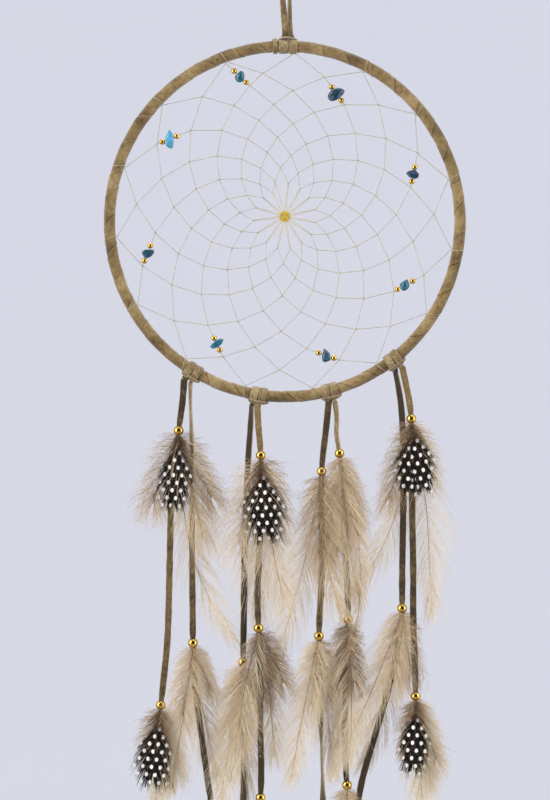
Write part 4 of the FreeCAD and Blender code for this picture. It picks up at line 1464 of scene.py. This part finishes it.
TAILS = (
    Tail(1, ((-43.5, -209.3), (-44.6, -217.5), (-46.4, -231.2), (-48.5, -250.0), (-49.1, -270.6),
             (-49.5, -292.0), (-50.1, -313.4), (-51.7, -328.8), (-53.1, -341.2)), (-223.7, -341.2),
         (Bundle((Plume(-22, 4, 31, 19, TAN, -1), Plume(24, 8, 30, 18, TAN, 1)),
                 (Plume(-1, 36, 92, 22, CREAM, 2, 10), Plume(12, 2, 45, 24, SAND, -1, -15)),
                 (Plume(-5, 2, 27, 17, BROWN, -3, 8),)),
          Bundle((Plume(18, -6, 27, 15, CREAM, 1), Plume(-18, 14, 20, 15, SMOKE, -1)),
                 (Plume(10, -4, 34, 10, CREAM, 1), Plume(2, -10, 40, 15, CREAM, 2, 20)),
                 (Plume(-8, 4, 27, 18, SMOKE, -3, -6),))),
         (12, 30, -8, 10, -20), (0.3, 0.42, 0.5, 0.5, 0.42), 0.1401),
    Tail(2, ((-40.5, -210.6), (-40.0, -220.9), (-39.6, -240.6), (-39.8, -266.2), (-39.5, -296.2),
             (-39.3, -321.9), (-37.6, -339.9), (-35.0, -358.7), (-32.7, -375.4), (-30.7, -388.3),
             (-29.4, -397.3)), (-314.6, -397.3),
         (Bundle((Plume(-12, 6, 29, 15, SAND, -1), Plume(20, 4, 20, 11, SAND, 1)),
                 (Plume(-6, -10, 62, 20, CREAM, -1, 12), Plume(8, 6, 56, 18, CREAM, 2, -14))),
          Bundle((Plume(-10, 0, 24, 14, SAND, -1), Plume(14, 0, 25, 14, CREAM, 1)),
                 (Plume(-8, 4, 52, 16, CREAM, -2), Plume(-2, 8, 56, 16, SAND, 2)))),
         (62, 70, 10, -12, 20, 8), (0.62, 0.5, 0.42, 0.3, 0.25), 0.1947),
    Tail(3, ((-14.6, -221.3), (-15.7, -235.4), (-16.6, -255.5), (-17.2, -279.1), (-17.6, -304.8),
             (-18.1, -332.6), (-17.5, -356.2), (-17.8, -378.4), (-17.4, -399.8)), (-322.8, -399.8),
         (Bundle((Plume(-16, 6, 27, 17, CREAM, 1), Plume(2, -2, 28, 17, SAND, -3)),
                 (Plume(-12, 6, 58, 21, CREAM, -2, 8), Plume(6, -8, 55, 18, CREAM, 2, -10))),
          Bundle((Plume(-8, 0, 24, 14, SAND, -1), Plume(10, 0, 25, 13, CREAM, 1)),
                 (Plume(-5, -4, 54, 16, CREAM, -2), Plume(3, 6, 56, 16, SAND, 2)))),
         (48, 20, -14, 30, 5), (0.12, 0.12, 0.2, 0.3, 0.35), 0.187),
    Tail(4, ((-11.4, -221.7), (-10.5, -229.4), (-9.9, -242.3), (-10.2, -262.0), (-11.2, -279.9),
             (-11.9, -297.5), (-10.8, -315.5), (-10.1, -334.7), (-10.4, -356.1), (-9.9, -369.8),
             (-10.4, -380.7)), (-234.3, -308.2, -380.7),
         (Bundle((Plume(-17, 4, 37, 26, CREAM, -1), Plume(14, -2, 28, 19, SMOKE, 1)),
                 (Plume(7, 6, 60, 28, CREAM, -3, 8), Plume(-3, 2, 64, 27, CREAM, 2, -10)),
                 (Plume(4, 0, 28, 20, SMOKE, -3),)),
          Bundle((Plume(4, 0, 27, 15, BROWN, -2), Plume(30, -8, 24, 14, TAN, 1)),
                 (Plume(-16, 10, 60, 18, CREAM, -2, 10), Plume(10, -6, 54, 18, CREAM, 2, -8))),
          Bundle((Plume(8, 0, 24, 14, SAND, -1), Plume(-8, 0, 25, 13, CREAM, 1)),
                 (Plume(7, -6, 54, 16, CREAM, -2), Plume(-4, 4, 58, 16, SAND, 2)))),
         (10, 24, -12, 36, 8), (0.6, 0.55, 0.4, 0.22, 0.2), 0.1675),
    Tail(5, ((17.7, -223.4), (15.9, -237.1), (15.5, -249.1), (15.9, -270.5), (15.7, -291.9), (14.6, -306.9),
             (14.5, -319.7), (15.3, -339.0), (15.7, -360.4), (16.4, -379.6), (16.4, -394.6)),
         (-241.2, -311.6, -394.6),
         (Bundle((Plume(-3, 3, 33, 21, TAN, -3), Plume(14, -4, 33, 17, SAND, 1)),
                 (Plume(-3, 26, 60, 22, SAND, -2, 6), Plume(-9, -14, 88, 20, CREAM, 2, -8))),
          Bundle((Plume(-8, 4, 27, 17, CREAM, -2), Plume(10, 0, 25, 13, SAND, 1)),
                 (Plume(-14, 4, 60, 18, CREAM, -2, 14), Plume(8, -4, 56, 18, CREAM, 2, -10))),
          Bundle((Plume(-9, 0, 24, 14, SAND, -1), Plume(8, 0, 25, 13, CREAM, 1)),
                 (Plume(-6, 4, 54, 16, CREAM, -2), Plume(4, -4, 56, 16, SAND, 2)))),
         (16, 4, 22, -30, 88, 20), (0.3, 0.4, 0.45, 0.42, 0.4), 0.1828),
    Tail(6, ((22.5, -218.3), (21.9, -224.7), (22.9, -230.3), (24.2, -238.8), (25.2, -255.5), (26.2, -278.2),
             (27.0, -296.2), (27.3, -313.3), (26.2, -334.7), (25.6, -354.0), (25.9, -366.8), (26.6, -375.4)),
         (-233.5, -304.5, -375.4),
         (Bundle((Plume(6, 2, 31, 17, SAND, -3), Plume(16, 2, 28, 14, SAND, 1)),
                 (Plume(19, -52, 102, 8, TAN, -2, 0), Plume(6, 2, 58, 22, CREAM, -2, 12))),
          Bundle((Plume(5, 0, 25, 13, BROWN, -2), Plume(-8, 4, 24, 13, TAN, 1)),
                 (Plume(4, -10, 58, 18, CREAM, -2, 10), Plume(-8, 6, 52, 16, CREAM, 2, -10))),
          Bundle((Plume(-7, 0, 24, 13, SAND, -1), Plume(6, 0, 25, 13, CREAM, 1)),
                 (Plume(-4, 4, 54, 16, CREAM, -2), Plume(5, -4, 56, 16, SAND, 2)))),
         (58, 66, 20, -6, 30, 10), (0.66, 0.62, 0.45, 0.18, 0.12), 0.1645),
    Tail(7, ((49.6, -208.9), (50.5, -222.2), (51.0, -240.6), (50.7, -262.0), (50.2, -284.2), (50.3, -305.6),
             (48.0, -318.5), (44.4, -334.7), (39.9, -350.1), (35.4, -364.7), (32.4, -375.8), (31.2, -384.4)),
         (-299.8, -384.4),
         (Bundle((Plume(-8, 0, 28, 20, SAND, -3), Plume(10, -4, 27, 15, TAN, 1)),
                 (Plume(-20, -6, 74, 20, CREAM, -2, 10), Plume(-8, -14, 66, 21, CREAM, 2, -12))),
          Bundle((Plume(8, 0, 24, 13, CREAM, -1), Plume(14, 0, 25, 13, SAND, 1)),
                 (Plume(8, -6, 54, 16, CREAM, -2), Plume(12, 0, 56, 16, CREAM, 2)))),
         (40, 26, -10, 24, -16, 5), (0.15, 0.2, 0.3, 0.5, 0.16, 0.15), 0.1884),
    Tail(8, ((52.2, -205.5), (53.8, -214.0), (54.4, -223.4), (54.6, -240.6), (54.4, -259.8), (55.0, -281.2),
             (54.8, -302.6), (55.6, -321.9), (55.9, -337.3)), (-218.7, -337.3),
         (Bundle((Plume(-19, 4, 34, 15, TAN, -1), Plume(20, -8, 22, 17, CREAM, 1)),
                 (Plume(12, -14, 82, 22, CREAM, 2, 10), Plume(-4, -34, 78, 18, CREAM, 1, -12)),
                 (Plume(-3, 2, 26, 15, SMOKE, -3, -8), Plume(11, 0, 26, 14, SMOKE, -4, 12))),
          Bundle((Plume(20, -4, 27, 14, CREAM, 1), Plume(-12, 6, 20, 13, SMOKE, -1)),
                 (Plume(6, -6, 48, 18, CREAM, 2, 10), Plume(14, -8, 36, 15, CREAM, 1)),
                 (Plume(-5, 2, 26, 15, SMOKE, -3, 6),))),
         (8, 20, -8, 12, -16), (0.6, 0.55, 0.4, 0.35, 0.35), 0.1412),
)
"""The eight tails, from the left."""

CHARMS = (
    Charm((2.1, 1.6, 2.6), 4, 3.5, 0.34),
    Charm((2.4, 1.8, 4.1), 62, 3.55, 0.16),
    Charm((2.0, 1.6, 3.0), 100, 3.15, 0.12),
    Charm((2.3, 1.7, 2.6), 20, 3.65, 0.42, 0.25),
    Charm((2.2, 1.6, 3.3), -8, 3.45, 0.3, 0.45),
    Charm((1.5, 1.4, 3.6), 60, 2.8, 0.45),
    Charm((2.1, 1.7, 2.8), 80, 3.5, 0.24),
    Charm((2.1, 1.7, 4.4), 3, 3.3, 0.85, 0.6),
)
"""The charms of the web's outer round, clockwise from the top left."""

KNOT_PLACES = (-38.9, -11.0, 19.4, 46.3)
"""Sideways place of each tail knot on the hoop, in mm."""


@dataclass(frozen=True)
class Lamp:
    """A soft rectangular lamp, which polished pieces mirror or don't."""

    name: str
    place: tuple[float, float, float]
    size: tuple[float, float]
    power: float
    mirrored: bool = True

    def hang(self, target: Vector, unlit: bpy.types.Collection) -> None:
        """Hang the lamp so that it faces the target, and keep its light off what is in the collection."""
        light = bpy.data.lights.new(self.name, "AREA")
        light.shape = "RECTANGLE"
        light.size, light.size_y = self.size
        light.energy = self.power
        lamp = bpy.data.objects.new(self.name, light)
        lamp.location = self.place
        lamp.rotation_euler = (target - Vector(self.place)).to_track_quat("-Z", "Y").to_euler()
        lamp.visible_camera = False
        lamp.visible_glossy = self.mirrored
        lamp.light_linking.receiver_collection = unlit
        bpy.context.scene.collection.objects.link(lamp)


LAMPS = (
    Lamp("left_softbox", (-1.05, -0.55, 0.1), (0.6, 1.4), 17.0),
    Lamp("right_softbox", (1.1, -0.45, 0.0), (0.6, 1.4), 12.0),
    Lamp("top_softbox", (0.1, 0.1, 1.0), (1.2, 1.0), 9.0),
    Lamp("front_fill", (0.0, -2.1, -0.1), (1.6, 1.0), 9.0, mirrored=False),
)


@dataclass(frozen=True)
class Studio:
    """Pale floor and backdrop, soft lights and the camera.

    Attributes:
        reach: Radius of the floor and its wall.
        curve: Radius of the bend between the two.
        wall_height: Height of the wall over the floor.
        floor_height: Height of the floor.
        glow: Strength of the paper's own light.
        wall: Colour of the paper.
        grain: Shade of the paper's cloudier places.
        air: Colour and strength of the light from all round.
        eye: Place of the camera, which looks along +Y.
        focus: Place that the lamps face.
        lens: Camera's focal length and sensor width, in mm.
        flag: Half width, lowest and highest edge, and distance of the dark cloth.
    """

    reach: float = 3.2
    curve: float = 0.9
    wall_height: float = 2.2
    floor_height: float = -0.66
    glow: float = 0.15
    wall: Colour = paint(234, 235, 241)
    grain: Colour = paint(231, 232, 239)
    air: tuple[Colour, float] = (paint(240, 240, 243), 0.8)
    eye: tuple[float, float, float] = (-0.0042, -0.8084, -0.2106)
    focus: tuple[float, float, float] = (0.0, 0.0, -0.21)
    lens: tuple[float, float] = (85.0, 36.0)
    flag: tuple[float, float, float, float] = (2.2, -1.9, 1.5, 1.0)

    def build(self) -> None:
        """Build the stage, the lights and the camera."""
        paper = self.add_backdrop()
        self.add_flag()
        for lamp in LAMPS:
            lamp.hang(Vector(self.focus), paper)
        scene = bpy.context.scene
        scene.world = bpy.data.worlds.new("studio_air")
        scene.world.use_nodes = True
        air = scene.world.node_tree.nodes["Background"].inputs
        air["Color"].default_value, air["Strength"].default_value = self.air
        scene.view_settings.view_transform = "Standard"
        lens = bpy.data.cameras.new("camera")
        lens.lens, lens.sensor_width = self.lens
        camera = bpy.data.objects.new("camera", lens)
        camera.location = self.eye
        camera.rotation_euler = (math.pi / 2, 0, 0)
        scene.collection.objects.link(camera)
        scene.camera = camera

    def add_backdrop(self) -> bpy.types.Collection:
        """A round floor that curves up into a low wall: radius and height of its outline, turned about Z.

        Returns:
            A collection that holds it and tells the lamps to leave it to the room's own light.
        """
        bend = np.linspace(0, math.pi / 2, 12)[1:]
        level = self.reach - self.curve
        radius = np.concatenate([[0.001, 1.0, level], level + self.curve * np.sin(bend), [self.reach]])
        height = np.concatenate([[0, 0, 0], self.curve * (1 - np.cos(bend)), [self.wall_height]])
        turn = angles(72)
        points = np.stack(np.broadcast_arrays(
            radius[:, None] * np.cos(turn), radius[:, None] * np.sin(turn), height[:, None] + self.floor_height), -1)
        piece = Piece("studio_backdrop")
        piece.add(points, tube_faces(len(radius), len(turn))[:1])
        shader = Shader("studio_paper", 0.85, Emission_Color=self.wall, Emission_Strength=self.glow)
        shader.paint(shader.ramp(shader.noise(shader.place(), 0.4, 2.0), (0.0, self.grain), (1.0, self.wall)))
        paper = piece.make(shader.material)
        paper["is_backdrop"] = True
        unlit = bpy.data.collections.new("studio_unlit")
        unlit.objects.link(paper)
        unlit.collection_objects[0].light_linking.link_state = "EXCLUDE"
        return unlit

    def add_flag(self) -> None:
        """A dark cloth behind the camera, which only polished pieces mirror."""
        half, low, high, away = self.flag
        corner = np.array([(-half, -away, low), (half, -away, low), (half, -away, high), (-half, -away, high)])
        piece = Piece("studio_flag")
        piece.add(np.concatenate([corner, corner + (0, -0.01, 0)]), tube_faces(2, 4))
        shader = Shader("studio_cloth", 0.95)
        weave = shader.noise(shader.place(), 0.01, 2.0)
        shader.paint(shader.ramp(weave, (0.3, paint(16, 14, 12)), (0.7, paint(34, 30, 26))))
        cloth = piece.make(shader.material)
        cloth.visible_camera = cloth.visible_diffuse = cloth.visible_shadow = cloth.visible_transmission = False
        cloth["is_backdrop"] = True


def main() -> list[tuple[float, ...]]:
    """Build every part in order, and return the frame's own box."""
    logging.basicConfig(level=logging.INFO, format="%(message)s")
    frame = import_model()
    frame_box = [tuple(corner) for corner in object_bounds()]
    joints = {joint["name"]: joint for joint in frame["joints"]}
    Studio().build()
    wardrobe, hoop, lace = Wardrobe(), Hoop.from_frame(), Lace()
    HangingLoop().build(wardrobe, lace, hoop)
    pivots = [np.array(joints[f"tail_swing_{tail.number}"]["pos_m"]) for tail in TAILS]
    for tail, pivot in zip(TAILS, pivots):
        tail.build(wardrobe, lace, pivot)
    hoop.build(wardrobe)
    Web().build(wardrobe, hoop)
    for number, place in enumerate(KNOT_PLACES, 1):
        clock = math.pi - math.asin(place * MM / hoop.radius)
        knot = HoopKnot(f"knot_{number}_lace", f"lace_knot_{number}", clock, ((1.75, 1.6), (-1.75, 1.6)), 0.9,
                        tone=0.5, bar=(0.5, 4.0))
        piece = knot.build(hoop, lace)
        for index in (2 * number - 2, 2 * number - 1):
            TAILS[index].add_top(piece, lace, pivots[index], knot.middle(hoop))
        wardrobe.dress(piece, Finish.LACE, "hoop", knot.node)
    for number, charm in enumerate(CHARMS, 1):
        charm.build(wardrobe, number, joints[f"chip_spin_{number}"])
    return frame_box


if __name__ == "__main__":
    FRAME_BOX = main()
